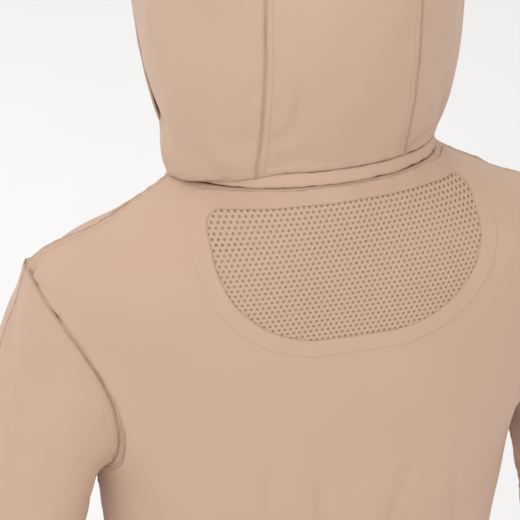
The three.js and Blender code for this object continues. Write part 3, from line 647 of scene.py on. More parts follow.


# Painted shade along the seams, and a painted shadow on the cloth just past the pleat's edge.
painted_shade = np.exp(-((d / 0.0022) ** 2)) * 0.8
painted_shade = np.maximum(painted_shade, 0.9 * np.exp(-(((from_pleat - 0.004) / 0.004) ** 2)) * open_at)
panel_point = grid + normals_of(grid, (0, 0, 1.3)) * relief[..., None]
back = Cloth("back_panel_cloth", grid, suit_cloth, (0, 0, 1.3), relief=relief, painted_shade=painted_shade,
             keep=~inside_vent(panel_point, 2))
finish_piece(back.obj, "suit", ["back_panel", "shoulder_pleat_left", "shoulder_pleat_right"])
back.sheet()

# ---------------------------------------------------------------------------------------------
# The vent over the shoulder blades: a spacer fabric with staggered rows of small round holes,
# over a closed lining. A bonded border of the suit's cloth covers its edge and is pressed flat.
surface = Cloth("surface_guide", grid, suit_cloth, (0, 0, 1.3), relief=relief)
outer_faces = (grid.shape[0] - 1) * (grid.shape[1] - 1)
lookup = BVHTree.FromPolygons([tuple(p) for p in surface.grid.reshape(-1, 3)],
                              shell_quads(*grid.shape[:2])[:outer_faces].tolist())
bpy.data.objects.remove(surface.obj)


def on_back(flat, lift):
    """Carries points from the vent's plane (x, height) to the back, lifted along its normals."""
    start = (vent_zero + flat[:, :1] * [1, 0, 0] + flat[:, 1:2] * vent_up) * MM + vent_out * 0.15
    found = np.empty((len(flat), 3))
    away = Vector(-vent_out)
    for i, p in enumerate(start):
        hit, normal, _, _ = lookup.ray_cast(Vector(p), away)
        if hit is None:
            hit, normal, _, _ = lookup.find_nearest(Vector(p - vent_out * 0.15))
        normal = normal if normal.dot(away) < 0 else -normal
        found[i] = hit + normal * float(lift[i])
    return found


def tree_group(name, inputs):
    """An empty node tree with a mesh in, a mesh out and named sizes."""
    group = bpy.data.node_groups.new(name, "GeometryNodeTree")
    group.interface.new_socket("Geometry", in_out="INPUT", socket_type="NodeSocketGeometry")
    ids = {}
    for label, (kind, value) in inputs.items():
        made = group.interface.new_socket(label, in_out="INPUT", socket_type="NodeSocket" + kind)
        if value is not None:
            made.default_value = value
        ids[label] = made.identifier
    group.interface.new_socket("Geometry", in_out="OUTPUT", socket_type="NodeSocketGeometry")
    group["ids"] = ids
    return group, group.nodes.new("NodeGroupInput"), group.nodes.new("NodeGroupOutput")


def linked(group, kind, settings, sockets, out=0):
    """Adds a node to a geometry tree; sockets takes values or other nodes' outputs."""
    made = group.nodes.new(kind)
    for key, value in settings.items():
        setattr(made, key, value)
    for key, value in sockets.items():
        if isinstance(value, bpy.types.NodeSocket):
            group.links.new(value, made.inputs[key])
        else:
            made.inputs[key].default_value = value
    return made.outputs[out]


def place_copies(group, source, sink, points, thing, rotation=None):
    """Ends a geometry tree: a copy of an object at each point, made real, with its material."""
    shape = linked(group, "GeometryNodeObjectInfo", {}, {"Object": source.outputs[thing]}, 4)
    sockets = {"Points": points, "Instance": shape}
    if rotation is not None:
        sockets["Rotation"] = rotation
    spread = linked(group, "GeometryNodeInstanceOnPoints", {}, sockets)
    real = linked(group, "GeometryNodeRealizeInstances", {}, {"Geometry": spread})
    done = linked(group, "GeometryNodeSetMaterial", {},
                  {"Geometry": real, "Material": source.outputs["Material"]})
    group.links.new(done, sink.inputs[0])


def even_points(group, source):
    """Points an even pitch apart along the edges of a mesh, and the way along them."""
    curve = linked(group, "GeometryNodeMeshToCurve", {}, {"Mesh": source.outputs["Geometry"]})
    even = linked(group, "GeometryNodeResampleCurve", {"mode": "LENGTH"},
                  {"Curve": curve, "Length": source.outputs["Pitch"]})
    return even, linked(group, "GeometryNodeInputTangent", {}, {})


def plain_mesh(obj, group, values, name):
    """Runs the tree on obj and returns its result as a plain mesh object."""
    modifier = obj.modifiers.new("repeat", "NODES")
    modifier.node_group = group
    for label, value in values.items():
        modifier[group["ids"][label]] = value
    obj.update_tag()
    bpy.context.view_layer.update()
    evaluated = obj.evaluated_get(bpy.context.evaluated_depsgraph_get())
    mesh = bpy.data.meshes.new_from_object(evaluated)
    obj.modifiers.clear()
    bpy.data.objects.remove(obj)
    result = bpy.data.objects.new(name, mesh)
    scene.collection.objects.link(result)
    return result


HOLE_PITCH, HOLE_R, NET_THICK = 4.6, 1.05, 0.5
corners = np.linspace(0, 2 * math.pi, 13)[:-1] + math.pi / 2
cell_r = HOLE_PITCH / math.sqrt(3)
edge_r = np.where(np.arange(12) % 2 == 0, cell_r, cell_r * math.cos(math.pi / 6))
spoke = np.stack([np.cos(corners), np.sin(corners)], -1)
levels = [(edge_r, -0.16), (np.full(12, HOLE_R + 0.3), 0.0), (np.full(12, HOLE_R), -0.22),
          (np.full(12, HOLE_R), -NET_THICK), (edge_r, -NET_THICK)]
cell_points = np.concatenate([np.column_stack([spoke * r[:, None], np.full(12, z)]) for r, z in levels])
ring_at = np.arange(12)
cell_quads = np.concatenate([
    np.stack([ring_at + 12 * i, (ring_at + 1) % 12 + 12 * i,
              (ring_at + 1) % 12 + 12 * ((i + 1) % 5), ring_at + 12 * ((i + 1) % 5)], -1)
    for i in range(5)])
cell = mesh_from("vent_cell", cell_points, cell_quads)
rows = np.arange(-30, 4)
columns = np.arange(-30, 31)
cx, cy = np.meshgrid(columns, rows)
row_gap = math.sqrt(3) / 2
flat = np.stack([(cx + 0.5 * (cy % 2)) * HOLE_PITCH, cy * HOLE_PITCH * row_gap - 1.0], -1).reshape(-1, 2)
in_plane = (vent_zero + flat[:, :1] * [1, 0, 0] + flat[:, 1:] * vent_up + vent_out * 40) * MM
flat = flat[inside_vent(in_plane, 3.5)]
spots = bpy.data.meshes.new("vent_spots")
spots.from_pydata([(x, y, 0) for x, y in flat], [], [])
spots_obj = bpy.data.objects.new("vent_spots", spots)
scene.collection.objects.link(spots_obj)

vent_net = cloth_look("vent_net", (0.585, 0.398, 0.29), relief=0.00004, sheen=0.15)
group, source, sink = tree_group("vent_holes", {"Cell": ("Object", None), "Material": ("Material", None)})
place_copies(group, source, sink, source.outputs["Geometry"], "Cell")
net = plain_mesh(spots_obj, group, {"Cell": cell, "Material": vent_net}, "vent_net_cloth")
bpy.data.objects.remove(cell)


def bent(obj, lift):
    """Bends a flat mesh, drawn in millimetres on the vent's plane, on to the back."""
    count = len(obj.data.vertices)
    flat = np.empty(count * 3, np.float32)
    obj.data.vertices.foreach_get("co", flat)
    flat = flat.reshape(-1, 3).astype(float)
    keys, spread = np.unique(flat[:, :2].round(3), axis=0, return_inverse=True)
    base = on_back(keys, np.zeros(len(keys)))
    up = on_back(keys, np.full(len(keys), 0.001))
    spread = spread.ravel()
    way = unit(up - base)[spread]
    points = base[spread] + way * (flat[:, 2:] + lift) * MM
    obj.data.vertices.foreach_set("co", points.astype(np.float32).ravel())
    obj.data.update()
    layer = obj.data.uv_layers.get("grain") or obj.data.uv_layers.new(name="grain")
    loops = np.empty(len(obj.data.loops), np.int32)
    obj.data.loops.foreach_get("vertex_index", loops)
    layer.data.foreach_set("uv", (flat[loops, :2] * MM).astype(np.float32).ravel())


bent(net, -0.3)
net.data.polygons.foreach_set("use_smooth", np.full(len(net.data.polygons), False))
finish_piece(net, "suit", ["vent_mesh"])

# The lining is drawn darker than the spacer fabric over it, as painted shade for the insides of the holes.
shaded_lining_look = cloth_look("vent_lining_shaded", (0.50, 0.337, 0.245), sheen=0.05)
rounds = vent_outline(3)
spans = np.linspace(0.003, 1, 24)
heart = np.array([0, -48])
lining_flat = heart + (rounds[None] - heart) * spans[:, None, None]
lining_lift = np.full(lining_flat[..., 0].size, -0.0013)
lining_grid = on_back(lining_flat.reshape(-1, 2), lining_lift).reshape(*lining_flat.shape[:2], 3)
lining = Cloth("vent_lining_cloth", lining_grid, shaded_lining_look, (0, 0, 1.3), thick=0.0005, ring=True)
finish_piece(lining.obj, "suit")

offsets = np.array([-0.4, -0.2, 0.3, 1.0, 2.4, 4, 6, 8, 10, 11.6, 12.8, 13.5, 14.0, 14.3])
lifts = np.array([-0.5, 0.35, 0.75, 0.85, 0.8, 0.75, 0.75, 0.75, 0.75, 0.8, 0.95, 0.85, 0.3, -0.4])
border_flat = np.stack([vent_outline(g) for g in offsets])
border_flat[..., 1] = np.minimum(border_flat[..., 1], 11.5 + 0.02 * offsets[:, None])
lift = np.broadcast_to(lifts[:, None], border_flat.shape[:2]).copy() * MM
border_grid = on_back(border_flat.reshape(-1, 2), lift.ravel()).reshape(*border_flat.shape[:2], 3)
pucker = 0.00025 * waves(border_grid, 0.016, 31) + 0.0004 * waves(border_grid, 0.05, 32)
# Painted shade along the border's inner edge, where it steps down to the vent.
border_painted_shade = np.broadcast_to((np.abs(offsets - 0.1) < 0.6)[:, None] * 0.5, pucker.shape)
border = Cloth("vent_border_cloth", border_grid, suit_cloth, (0, 0, 1.3), thick=0.0005, ring=True,
               relief=pucker, painted_shade=border_painted_shade)
finish_piece(border.obj, "suit", ["vent_facing"])

# ---------------------------------------------------------------------------------------------
# The two front panels, from the middle zip to the side seams. They are cut from the same cloth
# and hang straight from the shoulder seams.
ZIP_GAP = 18


def zip_edge(s):
    return math.pi - np.arcsin((ZIP_GAP / 2 / s["half"]) ** (s["round"] / 2))


def mirror(grid):
    return grid[:, ::-1] * np.array([-1, 1, 1])


front_share = shares((0.04, 10), (0.12, 10), (0.90, 76), (0.97, 12), (1, 10))
ats = np.broadcast_to(at_rows[:, None], (len(at_rows), len(front_share)))
start = zip_edge(body_course(at_rows))
end = armhole_edge(at_rows, False)
turns = start[:, None] + (end - start)[:, None] * front_share[None]
front_grid = body_at(turns, ats)
front_grid[ats <= 0, 2] = band_top


def front_folds(shape, turns, ats, d):
    """The fronts fall away from the shoulder seam, which is the highest line of the shoulders."""
    relief = body_folds(shape, turns, ats) * smooth(d, 0, 0.02)
    relief = relief - 0.010 * smooth(d, 0.0, 0.022) * smooth(shape[..., 2], 1.36, 1.41)
    drag = creases(shape, 0.12, 71, (1, 1, 0.5), 0.3) * smooth(d, 0.01, 0.05)
    return relief - 0.002 * drag * smooth(3.4 - ats, 0, 1)


for side, shape in (("left", front_grid), ("right", mirror(front_grid))):
    d = edge_distance(shape, ("left", "right", "low", "high"))
    relief = front_folds(shape, turns if side == "left" else turns[:, ::-1], ats, d)
    relief = relief + seam_relief(d, 61, shape)
    # Painted shade along the seams.
    panel = Cloth(f"front_panel_{side}_cloth", shape, suit_cloth, (0, 0, 1.3), relief=relief,
                  painted_shade=np.exp(-((d / 0.0022) ** 2)) * 0.8)
    finish_piece(panel.obj, "suit", [f"front_panel_{side}"])
    panel.sheet()

# ---------------------------------------------------------------------------------------------
# The sleeves: a back and a front panel each, set into the armholes with a little ease, with
# soft folds across the inner elbow. They narrow to gathered cuffs.
WRIST_OUT, WRIST_Z, WRIST_W = 411, 880, 95
wrist_in = (WRIST_OUT - WRIST_W * math.cos(NECK_TILT), WRIST_Z - WRIST_W * math.sin(NECK_TILT))
sleeve_course = course([0, 0.3, 0.55, 0.78, 1], [
    dict(out_x=234, out_z=1430, in_x=188, in_z=1240, deep=84, y=1),
    dict(out_x=297, out_z=1250, in_x=196, in_z=1190, deep=84, y=0),
    dict(out_x=344, out_z=1100, in_x=226, in_z=1063, deep=70, y=-8),
    dict(out_x=379, out_z=985, in_x=268, in_z=954, deep=60, y=-30),
    dict(out_x=WRIST_OUT, out_z=WRIST_Z, in_x=wrist_in[0], in_z=wrist_in[1], deep=46, y=-58),
])


def sleeve_at(turn, at):
    """turn is 0 at the armpit, a quarter turn at the back and half a turn at the shoulder."""
    s = sleeve_course(at)
    out = (1 - np.cos(turn)) / 2
    x = s["in_x"] + (s["out_x"] - s["in_x"]) * out
    z = s["in_z"] + (s["out_z"] - s["in_z"]) * out
    return np.stack([x, s["y"] + s["deep"] * np.sin(turn) + STAND_Y, z], -1) * MM


def armhole_point(turn):
    at = (ARMPIT + SHOULDER) / 2 - (SHOULDER - ARMPIT) / 2 * np.cos(turn)
    reach = np.where(np.sin(turn) > 0, ARMHOLE_BACK, ARMHOLE_FRONT)
    return body_at(math.pi / 2 - reach * np.sin(turn), at)


SLEEVE_SETTLE = 0.22
sleeve_rows = np.concatenate([np.linspace(0, 0.02, 10) ** 1.0, np.linspace(0.02, 0.3, 58)[1:],
                              np.linspace(0.3, 0.95, 86)[1:], np.linspace(0.95, 1, 12)[1:]])
sleeve_cols = np.concatenate([np.linspace(0, 0.06, 8), np.linspace(0.06, 3.08, 60)[1:],
                              np.linspace(3.08, math.pi, 8)[1:]])


def sleeve_grid(way):
    turn = way * np.broadcast_to(sleeve_cols[None], (len(sleeve_rows), len(sleeve_cols)))
    at = np.broadcast_to(sleeve_rows[:, None], turn.shape)
    blend = smooth(at, 0, SLEEVE_SETTLE)[..., None]
    tube = sleeve_at(turn, np.maximum(at, 0.0))
    return armhole_point(turn) * (1 - blend) + tube * blend, turn, at


arm_inside = np.array([0.27, 0.02, 1.17])
for part, way in (("back", 1), ("front", -1)):
    base, turn, at = sleeve_grid(way)
    for side, sign in (("left", 1), ("right", -1)):
        shape = base * np.array([sign, 1, 1])
        d = edge_distance(shape, ("left", "right", "low", "high"))
        inner = smooth(np.cos(turn), -0.4, 0.8)
        elbow = np.exp(-(((at - 0.56) / 0.13) ** 2))
        loose = smooth(at, 0.03, 0.3) * smooth(1.02 - at, 0, 0.2)
        relief = 0.0030 * waves(shape, 0.13, 81 + sign, (1, 1, 1.3)) * loose
        relief = relief + 0.0012 * waves(shape, 0.05, 84 + sign) * smooth(at, 0.02, 0.2)
        bend = creases(shape, 0.085, 85 + sign, (0.7, 0.7, 2.0), 0.35)
        drag = creases(shape, 0.13, 95 + sign, (1.6, 1, 0.7), 0.28)
        wrist = creases(shape, 0.05, 89 + sign, (0.7, 0.7, 1.8), 0.4)
        relief = relief - 0.0060 * bend * elbow * (0.35 + inner)
        relief = relief - 0.0035 * drag * smooth(at, 0.02, 0.15) * smooth(0.5 - at, 0, 0.3)
        relief = relief - 0.0045 * wrist * smooth(at, 0.8, 0.97)
        # The ease at the sleeve head makes short hollows that run down from the seam.
        head = smooth(-np.cos(turn), 0.2, 0.9) * np.exp(-((at / 0.07) ** 2)) * smooth(at, 0, 0.015)
        relief = relief + 0.0016 * np.sin(turn * 26 + 1.4 * np.sin(turn * 5)) * head
        relief = relief * smooth(d, 0, 0.008) + seam_relief(d, 91, shape)
        gather = np.exp(-((1 - at) / 0.035) ** 2)
        relief = relief + 0.0016 * np.sin(turn * 21 + 1.2 * np.sin(turn * 5)) * gather
        # Painted shade along the seams.
        panel = Cloth(f"sleeve_{part}_{side}_cloth", shape, suit_cloth, arm_inside * [sign, 1, 1],
                      relief=relief, painted_shade=np.exp(-((d / 0.0022) ** 2)) * 0.8)
        finish_piece(panel.obj, "suit", [f"sleeve_{part}_{side}"])
        panel.sheet()

# ---------------------------------------------------------------------------------------------
# The neck band: a low stand of doubled cloth between the body and the hood, with the zip that
# frees the hood round its front.
def neck_at(turn, up, radius):
    back = np.cos(turn)
    across = np.stack([np.sin(turn), back * math.cos(NECK_TILT), back * math.sin(NECK_TILT)], -1)
    centre = np.array([0, NECK_Y + STAND_Y, NECK_Z])
    return (centre + across * np.asarray(radius)[..., None] + neck_axis * np.asarray(up)[..., None]) * MM


NECK_BAND = 11.5
turns = np.linspace(0, 2 * math.pi, 361)[:-1]
ups = np.array([0.3, 0.6, 1.1, 2.0, 3.5, 5.5, 7.5, 9.2, 10.2, 10.9, 11.3, 11.5])
bulge = np.array([-0.9, -0.2, 0.2, 0.5, 0.7, 0.8, 0.7, 0.5, 0.2, -0.1, -0.5, -1.0])
turn_grid, up_grid = np.meshgrid(turns, ups)
grid = neck_at(turn_grid, up_grid, NECK_R + bulge[:, None] + 0 * up_grid)
relief = 0.0005 * waves(grid, 0.03, 101) + 0.0003 * waves(grid, 0.012, 102)
# Painted shade along the band's upper and lower edges.
band = Cloth("neck_band_cloth", grid, suit_cloth, (0, 0.019, 1.5), thick=0.0022, ring=True, relief=relief,
             painted_shade=np.abs(np.linspace(-1, 1, 12))[:, None] ** 6 * 0.8 + 0 * up_grid)
finish_piece(band.obj, "suit", ["neck_band"])
band.sheet()

# ---------------------------------------------------------------------------------------------
# The hood: a strip over the crown and two sides, sewn along two seams, full enough to hold off
# the veil. It stands on the neck band and its cloth sags over it on the left.
HOOD_TOP_Z, HOOD_HALF, HOOD_BACK, VEIL_FRONT = 1830, 130, 120, -190
hood_low = np.array([0, NECK_Y, NECK_Z]) + neck_axis * (NECK_BAND + 0.3)


def hood_z(share):
    return NECK_Z + (HOOD_TOP_Z - NECK_Z) * share


def hood_section(share, tilt, half, back_y, front, rounding=2.1):
    z = hood_z(share)
    return dict(side_z=z, back_z=z + tilt, front_z=z - tilt, half=half, back=back_y, front=front,
                round=rounding, mid_y=(back_y + front) / 2)


hood_course = course(range(9), [
    dict(side_z=hood_low[2], back_z=hood_low[2] + neck_rise, front_z=hood_low[2] - neck_rise, half=NECK_R,
         back=hood_low[1] + neck_reach, front=hood_low[1] - neck_reach, round=2, mid_y=hood_low[1]),
    hood_section(0.15, 24, 118, 103, -134),
    hood_section(0.31, 11, 126, 114, -170),
    hood_section(0.5, 0, HOOD_HALF, HOOD_BACK, VEIL_FRONT),
    hood_section(0.68, 0, 127, 114, VEIL_FRONT + 2),
    hood_section(0.83, 0, 111, 92, -166),
    hood_section(0.935, 0, 80, 56, -130),
    hood_section(0.983, 0, 42, 12, -86),
    hood_section(1, 0, 0, -37, -37),
])
CROWN = 8
SEAM_X = 60  # from the middle to the seams of the crown strip


def hood_at(turn, level):
    return ring_point(hood_course(level), np.asarray(turn, float))


FACE_LEAN = math.radians(9)
face_low = np.array([0, -45 + STAND_Y, NECK_Z + 12]) * MM
face_back = np.array([0, math.cos(FACE_LEAN), math.sin(FACE_LEAN)])
fine_levels = np.linspace(0, CROWN, 1601)
fine_sizes = hood_course(fine_levels)


def seam_turn(x, level):
    """The turn at which the hood is this far from the middle, on its back half."""
    s = hood_course(level)
    reach = np.clip(np.abs(x) / np.maximum(s["half"], 1e-6), 0, 1)
    return np.arcsin(reach ** (s["round"] / 2))


def top_level(x):
    """The level at which the narrowing crown is just this wide."""
    high = fine_levels > 4
    return np.interp(-np.abs(x), -fine_sizes["half"][high], fine_levels[high])


def face_turn(level, ahead=0.0):
    """The turn, from the back, at which each level meets the face opening, or a plane ahead of it."""
    sweep = np.linspace(0, math.pi, 721)
    points = hood_at(sweep[None, :], np.atleast_1d(level)[:, None])
    behind = (points - face_low) @ face_back + ahead
    first = np.argmax(behind < 0, axis=1)
    never = ~(behind < 0).any(1)
    i = np.maximum(first, 1)
    r = np.arange(len(i))
    t = behind[r, i - 1] / (behind[r, i - 1] - behind[r, i])
    found = sweep[i - 1] + t * (sweep[i] - sweep[i - 1])
    return np.where(never, math.pi, found)


def resampled(line, places):
    """A polyline read at shares of its length."""
    far = np.concatenate([[0], np.cumsum(np.linalg.norm(np.diff(line, axis=0), axis=1))])
    return np.stack([np.interp(places * far[-1], far, line[:, k]) for k in range(3)], -1)


def hood_folds(points, d):
    """Broad hollows and narrow creases that fade towards the edges; the sag over the neck band and the tuck
    behind the right ear are added elsewhere.
    """
    relief = 0.0030 * waves(points, 0.17, 111) + 0.0011 * waves(points, 0.06, 112, (1, 1, 0.7))
    relief = relief - 0.0030 * creases(points, 0.11, 113, (1, 1, 0.6), 0.22)
    return relief * smooth(d, 0, 0.02)


def sagged(points):
    """Lets the hood's lower edge on the left roll outwards and down over the neck band."""
    x, y = points[..., 0], points[..., 1] - 0.019
    turn = np.degrees(np.arctan2(x, y))
    height = (points - hood_low_point) @ neck_axis
    window = smooth(turn, 22, 52) * smooth(128 - turn, 0, 26)
    out = np.stack([x, y, 0 * x], -1)
    out = out / np.linalg.norm(out, axis=-1, keepdims=True)
    swell = np.exp(-(((height - 0.012) / 0.013) ** 2))
    low = np.exp(-((np.maximum(height, 0) / 0.010) ** 2))
    uneven = 1 + 0.35 * np.sin(np.radians(turn) * 5 + 0.6)
    amount = (window * uneven)[..., None]
    return points + amount * (out * (0.0062 * swell + 0.0022 * low)[..., None]
                              - neck_axis * (0.0085 * low + 0.0022 * swell)[..., None])


hood_low_point = (hood_low + [0, STAND_Y, 0]) * MM
hood_heart = (0, -0.02, 1.65)
rows_low = np.concatenate([np.linspace(0, 0.16, 26), np.linspace(0.16, 1.3, 46)[1:]])

strip_x = SEAM_X * np.concatenate([np.linspace(-1, -0.9, 14), np.linspace(-0.9, 0.9, 62)[1:],
                                   np.linspace(0.9, 1, 14)[1:]])
columns = []
strip_places = np.concatenate([np.linspace(0, 0.06, 34), np.linspace(0.06, 0.97, 140)[1:],
                               np.linspace(0.97, 1, 16)[1:]])
for x in strip_x:
    top = top_level(x)
    up = np.concatenate([np.linspace(0, 5, 220)[:-1], top - (top - 5) * np.linspace(1, 0, 160) ** 2])
    back_line = hood_at(np.sign(x) * seam_turn(x, up), up)
    down = top - (top - 5.2) * np.linspace(0, 1, 160) ** 2
    front_line = hood_at(np.sign(x) * (math.pi - seam_turn(x, down)), down)
    if x == 0:
        front_line = hood_at(math.pi - 0 * down, down)
    line = np.concatenate([back_line, front_line[1:]])
    behind = (line - face_low) @ face_back
    last = np.argmax(behind < 0)
    t = behind[last - 1] / (behind[last - 1] - behind[last])
    line = np.concatenate([line[:last], [line[last - 1] + t * (line[last] - line[last - 1])]])
    columns.append(resampled(line, strip_places))
strip_grid = np.stack(columns, 1)
d = edge_distance(strip_grid, ("left", "right", "low", "high"))
relief = hood_folds(strip_grid, d) + seam_relief(d, 121, strip_grid)
# Painted shade along the seams.
painted_shade = np.exp(-((d / 0.0022) ** 2)) * 0.8
strip = Cloth("hood_centre_cloth", sagged(strip_grid), suit_cloth, hood_heart, relief=relief, painted_shade=painted_shade)
finish_piece(strip.obj, "hood", ["hood_centre_panel"])
strip.sheet()

top = float(top_level(SEAM_X + 0.3))
side_levels = np.concatenate([rows_low, 1.3 + (top - 1.3) * (1 - (1 - np.linspace(0, 1, 120)[1:]) ** 1.8)])
side_levels[-1] = top - 1e-4
seam_at = seam_turn(SEAM_X, side_levels)
front_at = np.minimum(face_turn(side_levels), math.pi - seam_at)
side_share = shares((0.035, 12), (0.965, 76), (1, 10))
turns = seam_at[:, None] + (front_at - seam_at)[:, None] * side_share[None]
side_grid = hood_at(turns, np.broadcast_to(side_levels[:, None], turns.shape))
hood_sides = {}
for side, shape in (("left", side_grid), ("right", mirror(side_grid))):
    d = edge_distance(shape, ("left", "right", "low"))
    relief = hood_folds(shape, d) + seam_relief(d, 131, shape)
    if side == "right":
        relief = relief + fold(shape, [(-96, 70, 1548), (-78, 91, 1548), (-62, 100, 1541)], 0.005, 0.0045)
        relief = relief + fold(shape, [(-98, 60, 1535), (-94, 80, 1570), (-88, 100, 1604)], 0.009, 0.0035)
    else:
        relief = relief + fold(shape, [(118, -30, 1540), (112, 40, 1536), (84, 86, 1550)], 0.010, 0.0030)
    # Painted shade along the seams.
    piece = Cloth(f"hood_side_{side}_cloth", sagged(shape), suit_cloth, hood_heart, relief=relief,
                  painted_shade=np.exp(-((d / 0.0022) ** 2)) * 0.8)
    finish_piece(piece.obj, "hood", [f"hood_side_{side}"])
    piece.sheet()
    hood_sides[side] = piece

# ---------------------------------------------------------------------------------------------
# The chin band closes the hood under the face, ahead of the sides, and carries the veil's lower
# edge. It is the suit's cloth, doubled.
def axis_height(points):
    return (points - hood_low_point) @ neck_axis


rising_levels = np.linspace(0, 5, 601)


def level_at_height(turn, height):
    """The hood level at which a turn reaches this height above the neck band."""
    up = axis_height(hood_at(np.full(601, turn), rising_levels))
    return np.interp(height, up, rising_levels)


def front_rows(heights, count):
    """Rows round the front of the hood, from one face edge to the other, at heights over the band."""
    rows = []
    sweep = np.linspace(math.radians(60), math.radians(300), 241)
    table = axis_height(hood_at(sweep[:, None], rising_levels[None, :] + 0 * sweep[:, None]))
    for height in heights:
        line = hood_at(sweep, np.array([np.interp(height, up, rising_levels) for up in table]))
        ahead = (line - face_low) @ face_back < 0
        i, j = np.argmax(ahead), len(line) - 1 - np.argmax(ahead[::-1])
        rows.append(resampled(line[max(i - 1, 0):j + 2], np.linspace(0, 1, count)))
    return np.stack(rows)


CHIN = 0.026
chin_heights = np.concatenate([[0, 0.0006, 0.0014], np.linspace(0.0025, 0.0235, 14), [0.0246, 0.0254, CHIN]])
chin_rows = front_rows(chin_heights, 180)
d = edge_distance(chin_rows, ("left", "right", "low", "high"))
relief = 0.0008 * waves(chin_rows, 0.05, 141) * smooth(d, 0, 0.006) + seam_relief(d, 142, chin_rows)
# Painted shade along the edges.
chin = Cloth("chin_band_cloth", chin_rows, suit_cloth, (0, -0.05, 1.5), thick=0.002, relief=relief,
             painted_shade=np.exp(-((d / 0.0022) ** 2)) * 0.8)
finish_piece(chin.obj, "hood", ["chin_band"])
chin.sheet()

# ---------------------------------------------------------------------------------------------
# The veil: black net across the face from the chin band to the brim, bound along the arch and
# hemmed below, and held off the face by two flat spring hoops in casings.
veil_net, tree, shader = blank("veil_net")
weave = node(tree, "ShaderNodeUVMap", {"uv_map": "grain"}, {})
parts = tree.nodes.new("ShaderNodeSeparateXYZ")
plug(tree, parts.inputs[0], weave)
u, v = Wire(tree, parts.outputs[0]), Wire(tree, parts.outputs[1])
mesh_turn = 2 * math.pi / 0.0021
first = (u * mesh_turn).math("SINE").math("ABSOLUTE")
second = ((u * 0.5 + v * 0.866) * mesh_turn).math("SINE").math("ABSOLUTE")
third = ((u * 0.5 - v * 0.866) * mesh_turn).math("SINE").math("ABSOLUTE")
thin = first.math("MINIMUM", second).math("MINIMUM", third)
cover = node(tree, "ShaderNodeMapRange", {},
             {"Value": thin, "From Min": 0.22, "From Max": 0.34, "To Min": 1.0, "To Max": 0.0})
plug(tree, shader.inputs["Alpha"], cover)
net_noise = noise(tree, node(tree, "ShaderNodeTexCoord", {}, {}, 3), 40.0)
net_colour = mixed(tree, net_noise, (0.010, 0.010, 0.011, 1), (0.022, 0.021, 0.021, 1))
plug(tree, shader.inputs["Base Color"], net_colour)
plug(tree, shader.inputs["Roughness"], 0.55)
bumped(tree, shader, cover, 0.0002)

chin_level = level_at_height(math.pi, CHIN)
apex = face_turn(fine_levels)
veil_top = float(fine_levels[np.argmax((apex >= math.pi - 1e-6) & (fine_levels > 4))]) - 0.002
places = np.linspace(0, 1, 110)
across = np.linspace(0, 1, 150)
table_turns = np.linspace(0, math.pi, 181)
table_low = np.array([level_at_height(t, CHIN) for t in table_turns])
level = np.broadcast_to(chin_level + (veil_top - chin_level) * places[:, None], (110, 150)).copy()
for _ in range(6):
    edge_turn = np.interp(level, fine_levels, apex)
    turn = edge_turn + (2 * math.pi - 2 * edge_turn) * across[None]
    low_level = np.interp(math.pi - np.abs(turn - math.pi), table_turns, table_low)
    rise_share = 1 - (1 - places[:, None]) ** 1.6
    level = low_level + (veil_top - low_level) * rise_share
veil_grid = hood_at(turn, level)
d = edge_distance(veil_grid, ("left", "right", "low", "high"))
relief = 0.0022 * waves(veil_grid, 0.10, 151) + 0.0007 * waves(veil_grid, 0.03, 152)
relief = relief * smooth(d, 0, 0.03) - 0.0004
veil = Cloth("veil_net_cloth", veil_grid, veil_net, (0, -0.02, 1.65), thick=0.0004, relief=relief)
finish_piece(veil.obj, "hood", ["veil_screen"])
veil.sheet()

suit_trim = cloth_look("suit_trim", (0.53, 0.36, 0.262), painted_shade_to=0.78)


def arch_line(ahead, low_height=None, low_z=None, count=200):
    """The hood's meeting line with a plane this far ahead of the face opening, from side to side."""
    sweep = face_turn(fine_levels, ahead)
    points = hood_at(sweep, fine_levels)
    keep = (sweep < math.pi - 1e-6) & (points[:, 2] > (low_z or 0))
    if low_height is not None:
        keep &= axis_height(points) > low_height
    half = points[keep]
    end = fine_levels[keep][-1]
    half = np.concatenate([half, [hood_at(np.float64(math.pi), np.float64(min(end + 0.004, CROWN)))]])
    line = np.concatenate([half, half[-2::-1] * [-1, 1, 1]])
    return resampled(line, np.linspace(0, 1, count))


def strip_piece(name, lines, lifts, look, replaced, thick=0.0009, seed=0, gather=0.0):
    shape = np.stack(lines)
    relief = np.broadcast_to(np.array(lifts)[:, None], shape.shape[:2])
    relief = relief + 0.0003 * waves(shape, 0.03, 160 + seed)
    if gather:
        relief = relief + gather * waves(shape, 0.009, 170 + seed)
    # Painted shade along both edges of the strip.
    shaded = np.broadcast_to(np.abs(np.linspace(-1, 1, len(lines)))[:, None] ** 6 * 0.8, shape.shape[:2])
    piece = Cloth(name, shape, look, hood_heart, thick=thick, relief=relief, painted_shade=shaded)
    finish_piece(piece.obj, "hood", [replaced])
    piece.sheet()
    return piece


across = np.array([-9, -8.6, -7.6, -5, -2, 2, 5, 7.6, 8.6, 9]) * MM
rounded = np.array([0.0, 0.9, 1.6, 1.8, 1.9, 1.9, 1.8, 1.6, 0.9, 0.0]) * MM
strip_piece("veil_binding_cloth", [arch_line(a, CHIN) for a in across], rounded, suit_trim,
                      "veil_binding", seed=1)
hem_heights = CHIN + np.array([-6, -5.6, -4.8, -2, 2, 4.8, 5.6, 6]) * MM
hem_lines = front_rows(hem_heights, 200)
strip_piece("veil_hem_cloth", list(hem_lines), np.array([0, 0.9, 1.6, 1.8, 1.8, 1.6, 0.9, 0]) * MM,
                  suit_trim, "veil_hem", seed=2)
brim_low = hood_z(0.8) * MM
brim_steps = np.concatenate([[-9, -8.4, -7.2], np.linspace(-5, 56, 26), [59, 61, 62]]) * MM
brim_lift = 0.0026 + 0.0016 * smooth(brim_steps, -0.009, 0.0) + 0.0011 * smooth(brim_steps, 0.04, 0.062)
